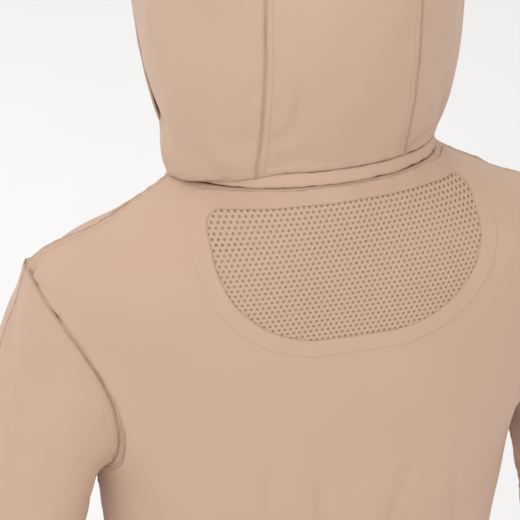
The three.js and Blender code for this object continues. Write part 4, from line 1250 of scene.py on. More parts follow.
strip_piece("hood_brim_cloth", [arch_line(a, None, brim_low, 170) for a in brim_steps], brim_lift,
                   suit_cloth, "hood_brim", thick=0.0016, seed=3)

spring_casing = cloth_look("spring_casing", (0.03, 0.03, 0.031), weave=0.0006, sheen=0.1)


def tube_mesh(name, line, radius, look, sides=10, flat=1.0):
    """A closed tube along a line; flat squeezes it towards a ribbon that stands upright."""
    way = unit(np.gradient(line, axis=0))
    out = unit(np.cross(way, [0, 0, 1.0]))
    up = np.cross(out, way)
    angle = np.linspace(0, 2 * math.pi, sides + 1)[:-1]
    rings = (line[:, None] + out[:, None] * (np.cos(angle) * radius * flat)[None, :, None]
             + up[:, None] * (np.sin(angle) * radius)[None, :, None])
    rings = np.concatenate([line[None, :1].repeat(sides, 1).reshape(1, sides, 3), rings,
                            line[None, -1:].repeat(sides, 1).reshape(1, sides, 3)])
    at = np.arange(len(rings) * sides).reshape(-1, sides)
    turned = np.roll(at, -1, 1)
    quads = np.stack([at[:-1], turned[:-1], turned[1:], at[1:]], -1).reshape(-1, 4)
    far = gaps(rings, 0).mean(1)
    uv = np.stack([np.broadcast_to(far[:, None], at.shape), np.broadcast_to(angle * radius, at.shape)], -1)
    obj = mesh_from(name, rings.reshape(-1, 3), quads, uv.reshape(-1, 2))
    obj.data.materials.append(look)
    return obj


for name in ("lower", "upper"):
    low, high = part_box(f"veil_hoop_{name}")
    z = (low.z + high.z) / 2
    column = np.array([np.interp(z, hood_at(np.full(1601, t), fine_levels)[:1200, 2], fine_levels[:1200])
                       for t in np.linspace(0, math.pi, 181)])
    sweep = np.linspace(0, math.pi, 181)
    ring = hood_at(sweep, column)
    ring = ring[(ring - face_low) @ face_back < -0.004]
    centre = np.array([0, -0.02, z])
    ring = ring - unit((ring - centre) * [1, 1, 0]) * 0.0032
    ring = np.concatenate([ring, ring[-2::-1] * [-1, 1, 1]])
    hoop_line = resampled(ring, np.linspace(0, 1, 160))
    hoop = tube_mesh(f"veil_hoop_{name}_casing", hoop_line, 0.0022, spring_casing, flat=0.5)
    finish_piece(hoop, "hood", [f"veil_hoop_{name}"])

# ---------------------------------------------------------------------------------------------
# The cuffs of the sleeves: elastic rings that gather the wrists into even ribs.
elastic_look = cloth_look("elastic", (0.49, 0.335, 0.245), weave=0.0009, rib=0.0024, painted_shade_to=0.7)
arm_down = unit(np.array([math.sin(NECK_TILT), -0.1, -math.cos(NECK_TILT)]))
SLEEVE_CUFF = 32
cuff_turns = np.linspace(0, 2 * math.pi, 241)[:-1]
cuff_middle = (sleeve_at(np.float64(0), 1) + sleeve_at(np.float64(math.pi), 1)) / 2
for side, sign in (("left", 1), ("right", -1)):
    downs = np.concatenate([[-1.0, 0.2, 0.9], np.linspace(2, 30, 22), [31, 31.6, 32]]) * MM
    spread = 0.995 - (0.185 / SLEEVE_CUFF / MM) * np.maximum(downs, 0)
    ring = sleeve_at(cuff_turns, 1) - cuff_middle
    shape = cuff_middle + ring[None] * spread[:, None, None] + arm_down * downs[:, None, None]
    shape = shape * [sign, 1, 1]
    ribs = 0.0009 * np.sin(cuff_turns * 48)[None] + 0.0006 * waves(shape, 0.02, 181)
    ribs = ribs * (1 - 0.6 * np.cos(downs / MM / SLEEVE_CUFF * 8 * math.pi)[:, None])
    cuff_heart = cuff_middle * [sign, 1, 1] + arm_down * [sign, 1, 1] * 0.016
    # Painted shade in the valleys between the ribs.
    shaded = 0.5 * (0.5 - 0.5 * np.sin(cuff_turns * 48))[None] + 0 * ribs
    cuff = Cloth(f"sleeve_cuff_{side}_cloth", shape, elastic_look, cuff_heart, thick=0.0018, ring=True,
                 relief=ribs - 0.0004, painted_shade=shaded)
    finish_piece(cuff.obj, "suit", [f"sleeve_cuff_{side}"])
    cuff.sheet()

# ---------------------------------------------------------------------------------------------
# The waist: a band of doubled cloth, gathered at the back over a wide elastic on its inside.
s = body_course(np.float64(0))
waist_edge = float(zip_edge(body_course(np.array([0.0])))[0])
waist_turns = np.linspace(-waist_edge, waist_edge, 441)
ups = np.concatenate([[0, 0.4, 1.2], np.linspace(2.4, 37.6, 22), [38.8, 39.6, 40]]) * MM + band_low
ring = body_at(waist_turns, np.zeros_like(waist_turns))
shape = np.broadcast_to(ring[None], (len(ups), len(waist_turns), 3)).copy()
shape[..., 1] += front_lean * (ups - ring[0, 2])[:, None]
shape[..., 2] = ups[:, None]
turn_of = np.broadcast_to(waist_turns[None], shape.shape[:2])
d = edge_distance(shape, ("low", "high"))
relief = waist_gather(turn_of, shape[..., 2], 0.0020) * smooth(d, 0, 0.004) - 0.0004
relief = relief + seam_relief(d, 191, shape) + waist_gather(turn_of, shape[..., 2], 0.0007) * (d < 0.004)
channels = sum(np.exp(-(((shape[..., 2] - band_low - k) / 0.0012) ** 2)) for k in (0.0095, 0.0305))
relief = relief - 0.0009 * channels * smooth(np.cos(turn_of), -0.1, 0.3)
# Painted shade in the two drawstring channels at the back, and along the band's edges.
shaded = 0.6 * channels * smooth(np.cos(turn_of), -0.1, 0.3)
waist = Cloth("waist_band_cloth", shape, suit_trim, (0, 0.02, 1.045), thick=0.0014, relief=relief,
              painted_shade=np.maximum(np.exp(-((d / 0.002) ** 2)) * 0.8, shaded))
finish_piece(waist.obj, "suit", ["waist_band"])
waist.sheet()
inner_turns = np.linspace(-math.pi / 2, math.pi / 2, 241)
inner_ups = band_low + np.concatenate([[4, 4.3], np.linspace(6, 34, 12), [35.7, 36]]) * MM
ring = body_at(inner_turns, np.zeros_like(inner_turns))
shape = np.broadcast_to(ring[None], (len(inner_ups), len(inner_turns), 3)).copy()
shape[..., 2] = inner_ups[:, None]
ribs = -0.0036 + 0.0003 * np.sin(inner_turns * 150)[None]
ribs = ribs + waist_gather(np.broadcast_to(inner_turns[None], shape.shape[:2]), shape[..., 2], 0.0020)
strap = Cloth("waist_elastic_band", shape, elastic_look, (0, 0, 1.045), thick=0.001, relief=ribs)
finish_piece(strap.obj, "suit", ["waist_elastic"])
strap.sheet()

# ---------------------------------------------------------------------------------------------
# The trousers: a front and a back panel to each leg, full over the hips and easy at the knee,
# with the cloth breaking softly over the ankle cuff.
CROTCH_Z, HIP_Z, WAIST_Z, KNEE_Z = 790, 900, 1045, 480
hip_course = course([CROTCH_Z, HIP_Z, WAIST_Z], [
    dict(half=200, back=128), dict(half=203, back=133), dict(half=172, back=108)])
leg_course = course([0, 300, KNEE_Z, 640, CROTCH_Z], [
    dict(x=130, y=12, wide=64, deep=70), dict(x=126, y=9, wide=70, deep=78),
    dict(x=120, y=0, wide=76, deep=84), dict(x=112, y=4, wide=84, deep=98),
    dict(x=100, y=5, wide=100, deep=118)])
fly_low = 893


def leg_at(share, z):
    """share runs from the front edge (0) round the outer side to the back edge (1); z in mm."""
    s, tube = hip_course(np.clip(z, CROTCH_Z, WAIST_Z)), leg_course(z)
    turn = math.pi * share
    fly = ZIP_GAP / 2 * smooth(z, fly_low - 25, fly_low)
    edge = np.maximum(np.where(share < 0.5, fly, 0), 0.15)
    middle, deep = (s["back"] + front_y(z)) / 2, (s["back"] - front_y(z)) / 2
    hips = np.stack([edge + (s["half"] - edge) * power(np.sin(turn), 2.2),
                     middle - deep * power(np.cos(turn), 2.2) + STAND_Y, z + 0 * share], -1)
    low = np.stack([tube["x"] - tube["wide"] * power(np.cos(2 * turn), 2.2) + 0.15,
                    tube["y"] - tube["deep"] * power(np.sin(2 * turn), 2.2) + 0.36 * (share - 0.5) + STAND_Y,
                    z + 0 * share], -1)
    fall = np.clip((HIP_Z - z) / (HIP_Z - CROTCH_Z), 0, 1)[..., None] ** 3
    return (hips * (1 - fall) + low * fall) * MM


ANKLE_CUFF = 40
leg_levels = np.concatenate([np.linspace(band_low / MM - 0.3, 905, 34), np.linspace(905, 780, 46)[1:],
                             np.linspace(780, 200, 110)[1:], np.linspace(200, ANKLE_CUFF + 0.3, 46)[1:]])
leg_share = shares((0.02, 8), (0.48, 50), (0.5, 8))


def leg_relief(shape, z, seed):
    inner_knee = np.exp(-(((z - KNEE_Z) / 90) ** 2))
    ankle = np.exp(-(((z - 75) / 55) ** 2))
    crotch = np.exp(-(((z - 800) / 75) ** 2)) * smooth(0.16 - np.abs(shape[..., 0]), 0, 0.12)
    free = smooth(z, ANKLE_CUFF, 110) * smooth(band_low / MM - z, 0, 60)
    relief = 0.0032 * waves(shape, 0.19, seed, (1, 1, 0.8)) * free
    relief = relief + 0.0012 * waves(shape, 0.06, seed + 1) * free
    relief = relief - 0.0055 * creases(shape, 0.11, seed + 2, (0.6, 0.8, 1.7), 0.3) * inner_knee
    relief = relief - 0.0050 * creases(shape, 0.07, seed + 3, (0.6, 0.6, 2.2), 0.38) * ankle
    relief = relief - 0.0048 * creases(shape, 0.09, seed + 4, (1.2, 1, 1.2), 0.3) * crotch
    return relief - 0.0032 * creases(shape, 0.20, seed + 5, (1.8, 1.4, 0.5), 0.22) * free


for part, start in (("front", 0.0), ("back", 0.5)):
    z = np.broadcast_to(leg_levels[:, None], (len(leg_levels), len(leg_share)))
    share = start + np.broadcast_to(leg_share[None], z.shape)
    base = leg_at(share, z)
    for side, sign in (("left", 1), ("right", -1)):
        shape = base * [sign, 1, 1]
        d = edge_distance(shape, ("left", "right", "low", "high"))
        relief = leg_relief(shape, z, 201 + (sign > 0) * 20 + (part == "back") * 40) * smooth(d, 0, 0.012)
        relief = relief + seam_relief(d, 211, shape)
        across_turn = np.arctan2(shape[..., 0], shape[..., 1] - 0.02)
        relief = relief + waist_gather(across_turn, shape[..., 2])
        shape = shape.copy()
        shape[0, :, 2] += 0.0020
        relief[0] -= 0.0014
        # Painted shade along the seams.
        panel = Cloth(f"leg_{part}_{side}_cloth", shape, suit_cloth, (0.125 * sign, 0.03, 0.5), relief=relief,
                      painted_shade=np.exp(-((d / 0.0022) ** 2)) * 0.8)
        finish_piece(panel.obj, "suit", [f"leg_{part}_{side}"])
        panel.sheet()

# Ankle cuffs: doubled cloth round the hems, drawn in a little by their stitching.
cuff_share = np.linspace(0, 1, 281)[:-1]
for side, sign in (("left", 1), ("right", -1)):
    ups = np.concatenate([[0.0, 0.5, 1.3], np.linspace(2.6, 37.4, 20), [38.7, 39.5, 40]])
    tube = leg_course(ups[:, None] + 0 * cuff_share[None])
    turn = 2 * math.pi * cuff_share[None] + 0 * ups[:, None]
    shape = np.stack([tube["x"] - (tube["wide"] - 0.4) * power(np.cos(turn), 2.2),
                      tube["y"] - (tube["deep"] - 0.4) * power(np.sin(turn), 2.2) + STAND_Y,
                      ups[:, None] + 0 * turn], -1) * MM * [sign, 1, 1]
    d = edge_distance(shape, ("low", "high"))
    relief = 0.0009 * waves(shape, 0.035, 221) * smooth(d, 0, 0.004) + seam_relief(d, 222, shape)
    # Painted shade along the edges.
    cuff = Cloth(f"ankle_cuff_{side}_cloth", shape, suit_trim, (0.13 * sign, 0.036, 0.02),
                 thick=0.0024, ring=True, relief=relief, painted_shade=np.exp(-((d / 0.002) ** 2)) * 0.8)
    finish_piece(cuff.obj, "suit", [f"ankle_cuff_{side}"])
    cuff.sheet()

# ---------------------------------------------------------------------------------------------
# Patch pocket and flap on the left chest, side pockets at the hips and patches over the knees,
# all topstitched on. The flap lifts on its top seam.
def chest_grid(x_from, x_to, at_from, at_to, rows=70, cols=90):
    x = np.broadcast_to(np.linspace(x_from, x_to, cols)[None], (rows, cols))
    at = np.broadcast_to(np.linspace(at_from, at_to, rows)[:, None], (rows, cols))
    s = body_course(at)
    turn = math.pi - np.arcsin((x / s["half"]) ** (s["round"] / 2))
    return body_at(turn, at), turn, at


def patch_rim(d, full):
    """A patch stands proud of what it is sewn to, with a turned edge."""
    return full * smooth(d, -0.0004, 0.0012) + 0.0005 * smooth(d, 0, 0.001) * smooth(0.009 - d, 0, 0.0015)


POCKET_IN, POCKET_W, POCKET_LOW, POCKET_TOP = 34, 110, 1.95, 3.02
shape, turn, at = chest_grid(POCKET_IN, POCKET_IN + POCKET_W, POCKET_LOW, POCKET_TOP)
under = front_folds(shape, turn, at, np.full(at.shape, 1.0))
d = edge_distance(shape, ("left", "right", "low", "high"))
belly = 0.0022 * smooth(d, 0.004, 0.04) * (1 + 0.3 * waves(shape, 0.07, 301))
relief = under + 0.0002 + patch_rim(d, 0.0013) + belly + 0.0003 * waves(shape, 0.012, 302) * np.exp(-d / 0.01)
# Painted shade along the pocket's edges.
pocket = Cloth("chest_pocket_cloth", shape, suit_cloth, (0.08, 0.02, 1.3), relief=relief,
               painted_shade=np.exp(-((d / 0.0014) ** 2)) * 0.7)
finish_piece(pocket.obj, "suit", ["chest_pocket"])
pocket.sheet()
shape, turn, at = chest_grid(POCKET_IN - 3, POCKET_IN + POCKET_W + 3, POCKET_TOP - 0.38,
                             POCKET_TOP + 0.05, 44, 96)
under = front_folds(shape, turn, at, np.full(at.shape, 1.0))
d = edge_distance(shape, ("left", "right", "low", "high"))
hang = 0.0012 * smooth(1 - (at - at.min()) / (at.max() - at.min()), 0, 1)
relief = under + 0.0034 + patch_rim(d, 0.0012) + hang + 0.0006 * waves(shape, 0.05, 303)
# Painted shade along the flap's edges.
flap = Cloth("chest_flap_cloth", shape, suit_trim, (0.08, 0.02, 1.3), thick=0.0014, relief=relief,
             painted_shade=np.exp(-((d / 0.0014) ** 2)) * 0.7)
finish_piece(flap.obj, "chest_flap", ["chest_flap"])
flap.sheet()

leg_patches = {}
for side, sign in (("left", 1), ("right", -1)):
    seed = 201 + (sign > 0) * 20
    for name, share_span, z_span, look, slot, full, seed_own in (
            ("knee_patch", (0.15, 0.35), (400, 560), suit_trim, "suit_trim", 0.0012, 311),
            ("hip_pocket", (0.30, 0.45), (845, 950), suit_cloth, "suit_cloth", 0.0013, 321)):
        share = np.broadcast_to(np.linspace(*share_span, 74)[None], (96, 74))
        z = np.broadcast_to(np.linspace(*z_span[::-1], 96)[:, None], (96, 74))
        shape = leg_at(share, z) * [sign, 1, 1]
        d = edge_distance(shape, ("left", "right", "low", "high"))
        under = leg_relief(shape, z, seed)
        under = under + waist_gather(np.arctan2(shape[..., 0], shape[..., 1] - 0.02), shape[..., 2])
        relief = under + 0.0002 + patch_rim(d, full)
        relief = relief + 0.0003 * waves(shape, 0.013, seed_own) * np.exp(-d / 0.01)
        if name == "hip_pocket":
            lip = np.exp(-((z_span[1] - z) / 9.0))
            relief = relief + 0.0020 * smooth(d, 0.003, 0.03) + 0.0016 * lip * smooth(d, 0.0, 0.004)
        # Painted shade along the patch's edges.
        piece = Cloth(f"{name}_{side}_cloth", shape, look, (0.12 * sign, 0.03, z_span[0] * MM), relief=relief,
                      painted_shade=np.exp(-((d / 0.0014) ** 2)) * 0.7)
        finish_piece(piece.obj, "suit", [f"{name}_{side}"])
        piece.sheet()
        leg_patches[name, side] = piece

# ---------------------------------------------------------------------------------------------
# The zips: woven tapes with moulded teeth. The long one closes the front, a short one opens each
# ankle, and one runs round the front of the neck band and frees the hood.
joints = {j["name"]: j for j in frame["record"]["behaviour"]["joints"]}
zip_tape = cloth_look("zip_tape", (0.47, 0.318, 0.23), weave=0.0006, sheen=0.1, painted_shade_to=0.75)
tooth_look, tree, shader = blank("zip_teeth")
here = node(tree, "ShaderNodeTexCoord", {}, {}, 3)
tooth_colour = mixed(tree, noise(tree, here, 300.0), (0.34, 0.225, 0.16, 1), (0.40, 0.27, 0.195, 1))
plug(tree, shader.inputs["Base Color"], tooth_colour)
plug(tree, shader.inputs["Roughness"], noise(tree, here, 120.0) * 0.2 + 0.32)
bumped(tree, shader, noise(tree, here, 900.0), 0.00004)
zip_metal, tree, shader = blank("zip_metal")
here = node(tree, "ShaderNodeTexCoord", {}, {}, 3)
scratch = noise(tree, here, 700.0, 4.0)
metal_colour = mixed(tree, noise(tree, here, 90.0), (0.30, 0.29, 0.28, 1), (0.40, 0.39, 0.37, 1))
plug(tree, shader.inputs["Base Color"], metal_colour)
plug(tree, shader.inputs["Metallic"], 1.0)
plug(tree, shader.inputs["Roughness"], scratch * 0.25 + 0.26)
bumped(tree, shader, scratch, 0.00003)

tooth_tree, source, sink = tree_group("zip_teeth", {
    "Pitch": ("Float", 0.0021), "Tooth": ("Object", None), "Material": ("Material", None)})
even, tangent = even_points(tooth_tree, source)
away = linked(tooth_tree, "GeometryNodeInputNamedAttribute", {"data_type": "FLOAT_VECTOR"}, {"Name": "away"})
stand = linked(tooth_tree, "FunctionNodeAlignRotationToVector", {"axis": "Z"}, {"Vector": tangent})
stand = linked(tooth_tree, "FunctionNodeAlignRotationToVector", {"axis": "Y", "pivot_axis": "Z"},
               {"Rotation": stand, "Vector": away})
place_copies(tooth_tree, source, sink, even, "Tooth", stand)


def wire_object(name, lines, away=None):
    """A mesh of edges along some lines, with the way out of the cloth at each point."""
    points, edges, ways, first = [], [], [], 0
    for i, line in enumerate(lines):
        points.extend(map(tuple, line))
        edges.extend((first + k, first + k + 1) for k in range(len(line) - 1))
        ways.append(np.broadcast_to(away[i], line.shape) if away is not None else np.zeros_like(line))
        first += len(line)
    mesh = bpy.data.meshes.new(name)
    mesh.from_pydata(points, edges, [])
    layer = mesh.attributes.new("away", "FLOAT_VECTOR", "POINT")
    layer.data.foreach_set("vector", np.concatenate(ways).astype(np.float32).ravel())
    obj = bpy.data.objects.new(name, mesh)
    scene.collection.objects.link(obj)
    return obj


def tooth_shape(name, wide, deep, tall):
    """A moulded tooth: a head, a narrower neck and a foot that grips the tape."""
    outline = np.array([(-0.5, -0.30), (-0.28, -0.5), (0.2, -0.34), (0.5, -0.42), (0.5, 0.42), (0.2, 0.34),
                        (-0.28, 0.5), (-0.5, 0.30)]) * [wide, tall]
    ring = np.arange(8)
    layers = [(0.86, -0.5), (1.0, -0.36), (1.0, 0.36), (0.86, 0.5)]
    points = [np.column_stack([outline[:, 0] * k, np.full(8, y * deep), outline[:, 1] * k])
              for k, y in layers]
    points = np.concatenate(points + [[[0, -0.5 * deep, 0]], [[0, 0.5 * deep, 0]]])
    after = np.roll(ring, -1)
    quads = [np.stack([ring + 8 * i, after + 8 * i, after + 8 * (i + 1), ring + 8 * (i + 1)], -1)
             for i in range(3)]
    mesh = bpy.data.meshes.new(name)
    faces = np.concatenate(quads).tolist()
    faces += [(b, a, 32) for a, b in zip(ring, np.roll(ring, -1))]
    faces += [(a + 24, b + 24, 33) for a, b in zip(ring, np.roll(ring, -1))]
    mesh.from_pydata(points.tolist(), [], [tuple(map(int, f)) for f in faces])
    obj = bpy.data.objects.new(name, mesh)
    scene.collection.objects.link(obj)
    return obj


def zip_teeth(name, middle, side_way, out_way, body, pitch=0.0021, wide=0.0032):
    """Two rows of teeth that pass each other along a middle line."""
    far = np.concatenate([[0], np.cumsum(np.linalg.norm(np.diff(middle, axis=0), axis=1))])
    pieces = []
    for sign, shift in ((1, 0.0), (-1, pitch / 2)):
        line = resampled(middle, (shift + np.arange(0, int((far[-1] - pitch) / pitch)) * pitch) / far[-1])
        side = resampled(side_way, np.linspace(0, 1, len(line))) if side_way.ndim == 2 else side_way
        pieces.append(line + unit(side) * sign * wide * 0.28)
    tooth = tooth_shape("tooth", wide, 0.0018, pitch * 0.62)
    rails = wire_object(name + "_rails", pieces, [out_way, out_way])
    obj = plain_mesh(rails, tooth_tree, {"Pitch": pitch, "Tooth": tooth, "Material": tooth_look}, name)
    bpy.data.objects.remove(tooth)
    finish_piece(obj, body)
    return obj


zip_up = np.array(joints["front_zip_slide"]["axis"])
zip_in = np.array([0, zip_up[2], -zip_up[1]])
zip_zero = np.array([0, FRONT_LOW_Y + STAND_Y, FRONT_LOW_Z]) * MM


def on_zip(x, deep, up):
    x, deep, up = (np.asarray(v, float)[..., None] * MM for v in (x, deep, up))
    return zip_zero + np.array([1, 0, 0]) * x + zip_in * deep + zip_up * up


front_length = (NECK_Z - neck_rise - FRONT_LOW_Z) / zip_up[2]
ZIP_LOW, ZIP_HIGH, TAPE_Y = 25, front_length - 34, 3.7
for side, sign in (("left", 1), ("right", -1)):
    x = np.array([0.6, 0.9, 1.3, 2.2, 3.4, 3.8, 5, 7, 9, 11, 12, 12.4, 12.6]) * sign
    deep = np.array([0.4, 0.1, 0.0, 0.0, 0.1, 0.6, 0.7, 0.7, 0.7, 0.7, 0.7, 0.8, 1.2]) + TAPE_Y
    ups = np.linspace(ZIP_LOW - 34, ZIP_HIGH + 8, 300)
    shape = on_zip(x[None] + 0 * ups[:, None], deep[None] + 0 * ups[:, None], ups[:, None] + 0 * x[None])
    tape = Cloth(f"front_zip_tape_{side}", shape, zip_tape, (0, 0.05, 1.2), thick=0.0009,
                 relief=0.0002 * waves(shape, 0.02, 331))
    finish_piece(tape.obj, "suit", [f"front_zip_{side}"])
    tape.sheet()
middle = on_zip(np.zeros(200), np.full(200, TAPE_Y - 0.2), np.linspace(ZIP_LOW, ZIP_HIGH, 200))
zip_teeth("front_zip_teeth", middle, np.array([1.0, 0, 0]), -zip_in, "suit")


def lofted(name, loops, look, cap=True):
    """A closed mesh through loops of the same number of points."""
    count = loops.shape[1]
    at = np.arange(loops.shape[0] * count).reshape(-1, count)
    turned = np.roll(at, -1, 1)
    quads = np.stack([at[:-1], turned[:-1], turned[1:], at[1:]], -1).reshape(-1, 4)
    if not cap:
        last = np.stack([at[-1], turned[-1], turned[0], at[0]], -1)
        quads = np.concatenate([quads, last])
    faces = [tuple(map(int, q)) for q in quads]
    if cap:
        faces += [tuple(map(int, at[0][::-1])), tuple(map(int, at[-1]))]
    mesh = bpy.data.meshes.new(name)
    mesh.from_pydata(loops.reshape(-1, 3).tolist(), [], faces)
    mesh.update()
    volume = sum(Vector(p.center).dot(p.normal) * p.area for p in mesh.polygons)
    if volume < 0:
        mesh.flip_normals()
    mesh.polygons.foreach_set("use_smooth", np.full(len(mesh.polygons), True))
    obj = bpy.data.objects.new(name, mesh)
    scene.collection.objects.link(obj)
    obj.data.materials.append(look)
    return obj


def joined(name, objects):
    """Several meshes made into one object."""
    bpy.ops.object.select_all(action="DESELECT")
    for obj in objects:
        obj.select_set(True)
    bpy.context.view_layer.objects.active = objects[0]
    bpy.ops.object.join()
    objects[0].name = name
    return objects[0]


def rounded_loop(wide, tall, count=32, rounding=5.0):
    angle = np.linspace(0, 2 * math.pi, count + 1)[:-1]
    return np.stack([power(np.cos(angle), rounding) * wide / 2,
                     power(np.sin(angle), rounding) * tall / 2], -1)


def runner(name, body, centre, up, out, wide, tall, thick, replaced):
    """A zip slider: two rounded plates with a waist between them, and a bridge for the pull."""
    side = np.cross(up, out)
    steps = [(0.82, -0.5), (0.97, -0.42), (1.0, -0.3), (1.0, -0.12), (0.88, -0.04), (0.88, 0.04), (1.0, 0.12),
             (1.0, 0.3), (0.96, 0.43), (0.8, 0.5)]
    loop = rounded_loop(wide, tall)
    narrow = 1 - 0.24 * smooth(-loop[:, 1] / tall, 0, 0.5)
    face = (loop[:, :1] * narrow[:, None]) * side + loop[:, 1:] * up
    loops = np.stack([centre + face * k + out * z * thick for k, z in steps])
    plate = lofted(name + "_plate", loops, zip_metal)
    angle = np.linspace(0, math.pi, 25)
    arc = centre + out * thick * 0.42 + (np.cos(angle) * tall * 0.30)[:, None] * up \
        + (np.sin(angle) ** 0.7 * 0.0030)[:, None] * out
    bridge = tube_mesh(name + "_bridge", arc, 0.0008, zip_metal, 12)
    obj = joined(name, [plate, bridge])
    finish_piece(obj, body, replaced)
    return obj


def puller(name, body, hinge, down, out, wide, tall, replaced):
    """A flat pull with a window at its top and a ribbed grip, hung from the bridge."""
    side = np.cross(down, out)
    middle = hinge + down * (tall / 2 - 0.0012)
    count = 40
    outer, inner = rounded_loop(wide, tall, count, 4.0), rounded_loop(wide * 0.5, tall * 0.24, count, 3.0)
    inner[:, 1] -= tall * 0.28
    taper = 1 - 0.18 * smooth(-outer[:, 1] / tall, -0.1, 0.5)
    outer[:, 0] *= taper
    half = 0.0007
    between = outer * 0.5 + inner * 0.5
    profile = [(outer, 1.0, -0.55), (outer, 1.0, 0.55), (outer, 0.9, 1.0), (between, 1.0, 1.0),
               (inner, 1.12, 1.0), (inner, 1.0, 0.55), (inner, 1.0, -0.55), (inner, 1.12, -1.0),
               (between, 1.0, -1.0), (outer, 0.9, -1.0)]
    loops = []
    for loop, k, z in profile:
        centre = loop.mean(0)
        flat = centre + (loop - centre) * k
        loops.append(middle + flat[:, :1] * side + flat[:, 1:] * down + out * z * half)
    plate = lofted(name + "_plate", np.stack(loops), zip_metal, cap=False)
    parts = [plate]
    for i in range(4):
        place = middle + down * tall * (0.08 + 0.09 * i)
        line = place + np.linspace(-0.32, 0.32, 9)[:, None] * wide * side + out * half * 0.9
        parts.append(tube_mesh(f"{name}_rib_{i}", line, 0.00035, zip_metal, 8))
    obj = joined(name, parts)
    finish_piece(obj, body, replaced)
    return obj


low, high = (np.array(c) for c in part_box("zip_slider"))
front_out = -zip_in
centre = np.array([0, high[1], (low[2] + high[2]) / 2]) + front_out * 0.0014
runner("front_slider", "zip_slider", centre, zip_up, front_out, 0.010, 0.014, 0.0034, ["zip_slider"])
hinge = np.array(joints["front_pull_swing"]["pos_m"])
puller("front_pull", "zip_pull", hinge, -zip_up, front_out, 0.007, 0.030, ["zip_pull"])
stop_at = on_zip(0, 2.9, ZIP_LOW - 3)
stop_loop = rounded_loop(9, 5.7)
stop_face = stop_loop[:, :1] * [1, 0, 0] + stop_loop[:, 1:] * zip_up
stop_loops = np.stack([stop_at + (stop_face * k - zip_in * z) * MM
                       for k, z in ((0.9, -1.9), (1, -1.5), (1, 1.5), (0.88, 2.0))])
stop = lofted("zip_bottom_clip", stop_loops, zip_metal)
finish_piece(stop, "suit", ["zip_bottom_stop"])

for side, sign in (("left", 1), ("right", -1)):
    up = np.array(joints[f"ankle_zip_slide_{side}"]["axis"])
    forward = np.array([0, 1.0, 0])
    out = np.cross(forward, up)
    out = out if out[0] * sign > 0 else -out
    low, high = (np.array(c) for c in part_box(f"ankle_zip_{side}"))
    base = (low + high) / 2
    length = (high - low)[2] / up[2]
    lines = []
    tape_half = ((1.4, 0.5), (2.2, 0.7), (6, 0.6), (7.8, 0.2), (8, -0.6))
    for y, lift in [(-y, lift) for y, lift in tape_half[::-1]] + list(tape_half):
        place = base + forward * y * MM + out * lift * MM
        lines.append(place + np.linspace(-0.5, 0.5, 120)[:, None] * length * up)
    shape = np.stack(lines, 1)
    tape = Cloth(f"ankle_zip_tape_{side}", shape, zip_tape, base - out * 0.05, thick=0.0008,
                 relief=0.0002 * waves(shape, 0.02, 341))
    finish_piece(tape.obj, "suit", [f"ankle_zip_{side}"])
    tape.sheet()
    middle = base + out * 0.0008 + np.linspace(-0.49, 0.49, 80)[:, None] * length * up
    zip_teeth(f"ankle_zip_teeth_{side}", middle, forward, out, "suit", 0.0021, 0.0030)
    low, high = (np.array(c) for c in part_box(f"ankle_slider_{side}"))
    hinge = np.array(joints[f"ankle_pull_swing_{side}"]["pos_m"])
    centre = (low + high) / 2
    centre[0] = (low[0] if sign > 0 else high[0])
    centre = centre + out * 0.0016
    runner(f"ankle_runner_{side}", f"ankle_slider_{side}", centre, up, out, 0.009, 0.012, 0.0030,
           [f"ankle_slider_{side}"])
    puller(f"ankle_puller_{side}", f"ankle_pull_{side}", hinge, -up, out, 0.006, 0.024,
           [f"ankle_pull_{side}"])

ZIP_TURN = math.radians(105)
turns = np.linspace(ZIP_TURN, 2 * math.pi - ZIP_TURN, 200)
ups = np.array([1.5, 1.7, 2.6, 4.4, 5.2, 6.8, 7.6, 9.4, 10.3, 10.5])
lifts = np.array([0.3, 1.2, 1.6, 1.7, 1.5, 1.5, 1.7, 1.6, 1.2, 0.3])
turn_grid, up_grid = np.meshgrid(turns, ups)
shape = neck_at(turn_grid, up_grid, NECK_R + 0.3 + lifts[:, None] + 0 * turn_grid)
tape = Cloth("neck_zip_tape", shape, zip_tape, (0, 0.019, 1.5), thick=0.0008)
finish_piece(tape.obj, "suit", ["neck_zip"])
tape.sheet()
line = neck_at(turns, np.full(200, 6.0), np.full(200, NECK_R + 2.0))
outs = unit(line - neck_at(turns, np.full(200, 6.0), np.full(200, 1.0)))
shifted = resampled(line, np.linspace(0.0018, 0.9982, 200))
rails = wire_object("neck_rails", [line + neck_axis * 0.0008, shifted - neck_axis * 0.0008], [outs, outs])
tooth = tooth_shape("tooth", 0.0030, 0.0016, 0.0013)
teeth = plain_mesh(rails, tooth_tree, {"Pitch": 0.0021, "Tooth": tooth, "Material": tooth_look},
                   "neck_zip_teeth")
bpy.data.objects.remove(tooth)
finish_piece(teeth, "suit")
end_turn = math.radians(110)
out = unit(neck_at(end_turn, 6.0, 110.0) - neck_at(end_turn, 6.0, 100.0))
along = unit(neck_at(end_turn + 0.01, 6.0, 110.0) - neck_at(end_turn, 6.0, 110.0))
runner("neck_runner", "neck_slider", neck_at(end_turn, 6.0, 110.6), along, out, 0.008, 0.012, 0.0026,
       ["neck_slider"])
hinge = np.array(joints["neck_pull_swing"]["pos_m"])
puller("neck_puller", "neck_pull", hinge, along, out, 0.006, 0.017, ["neck_pull"])

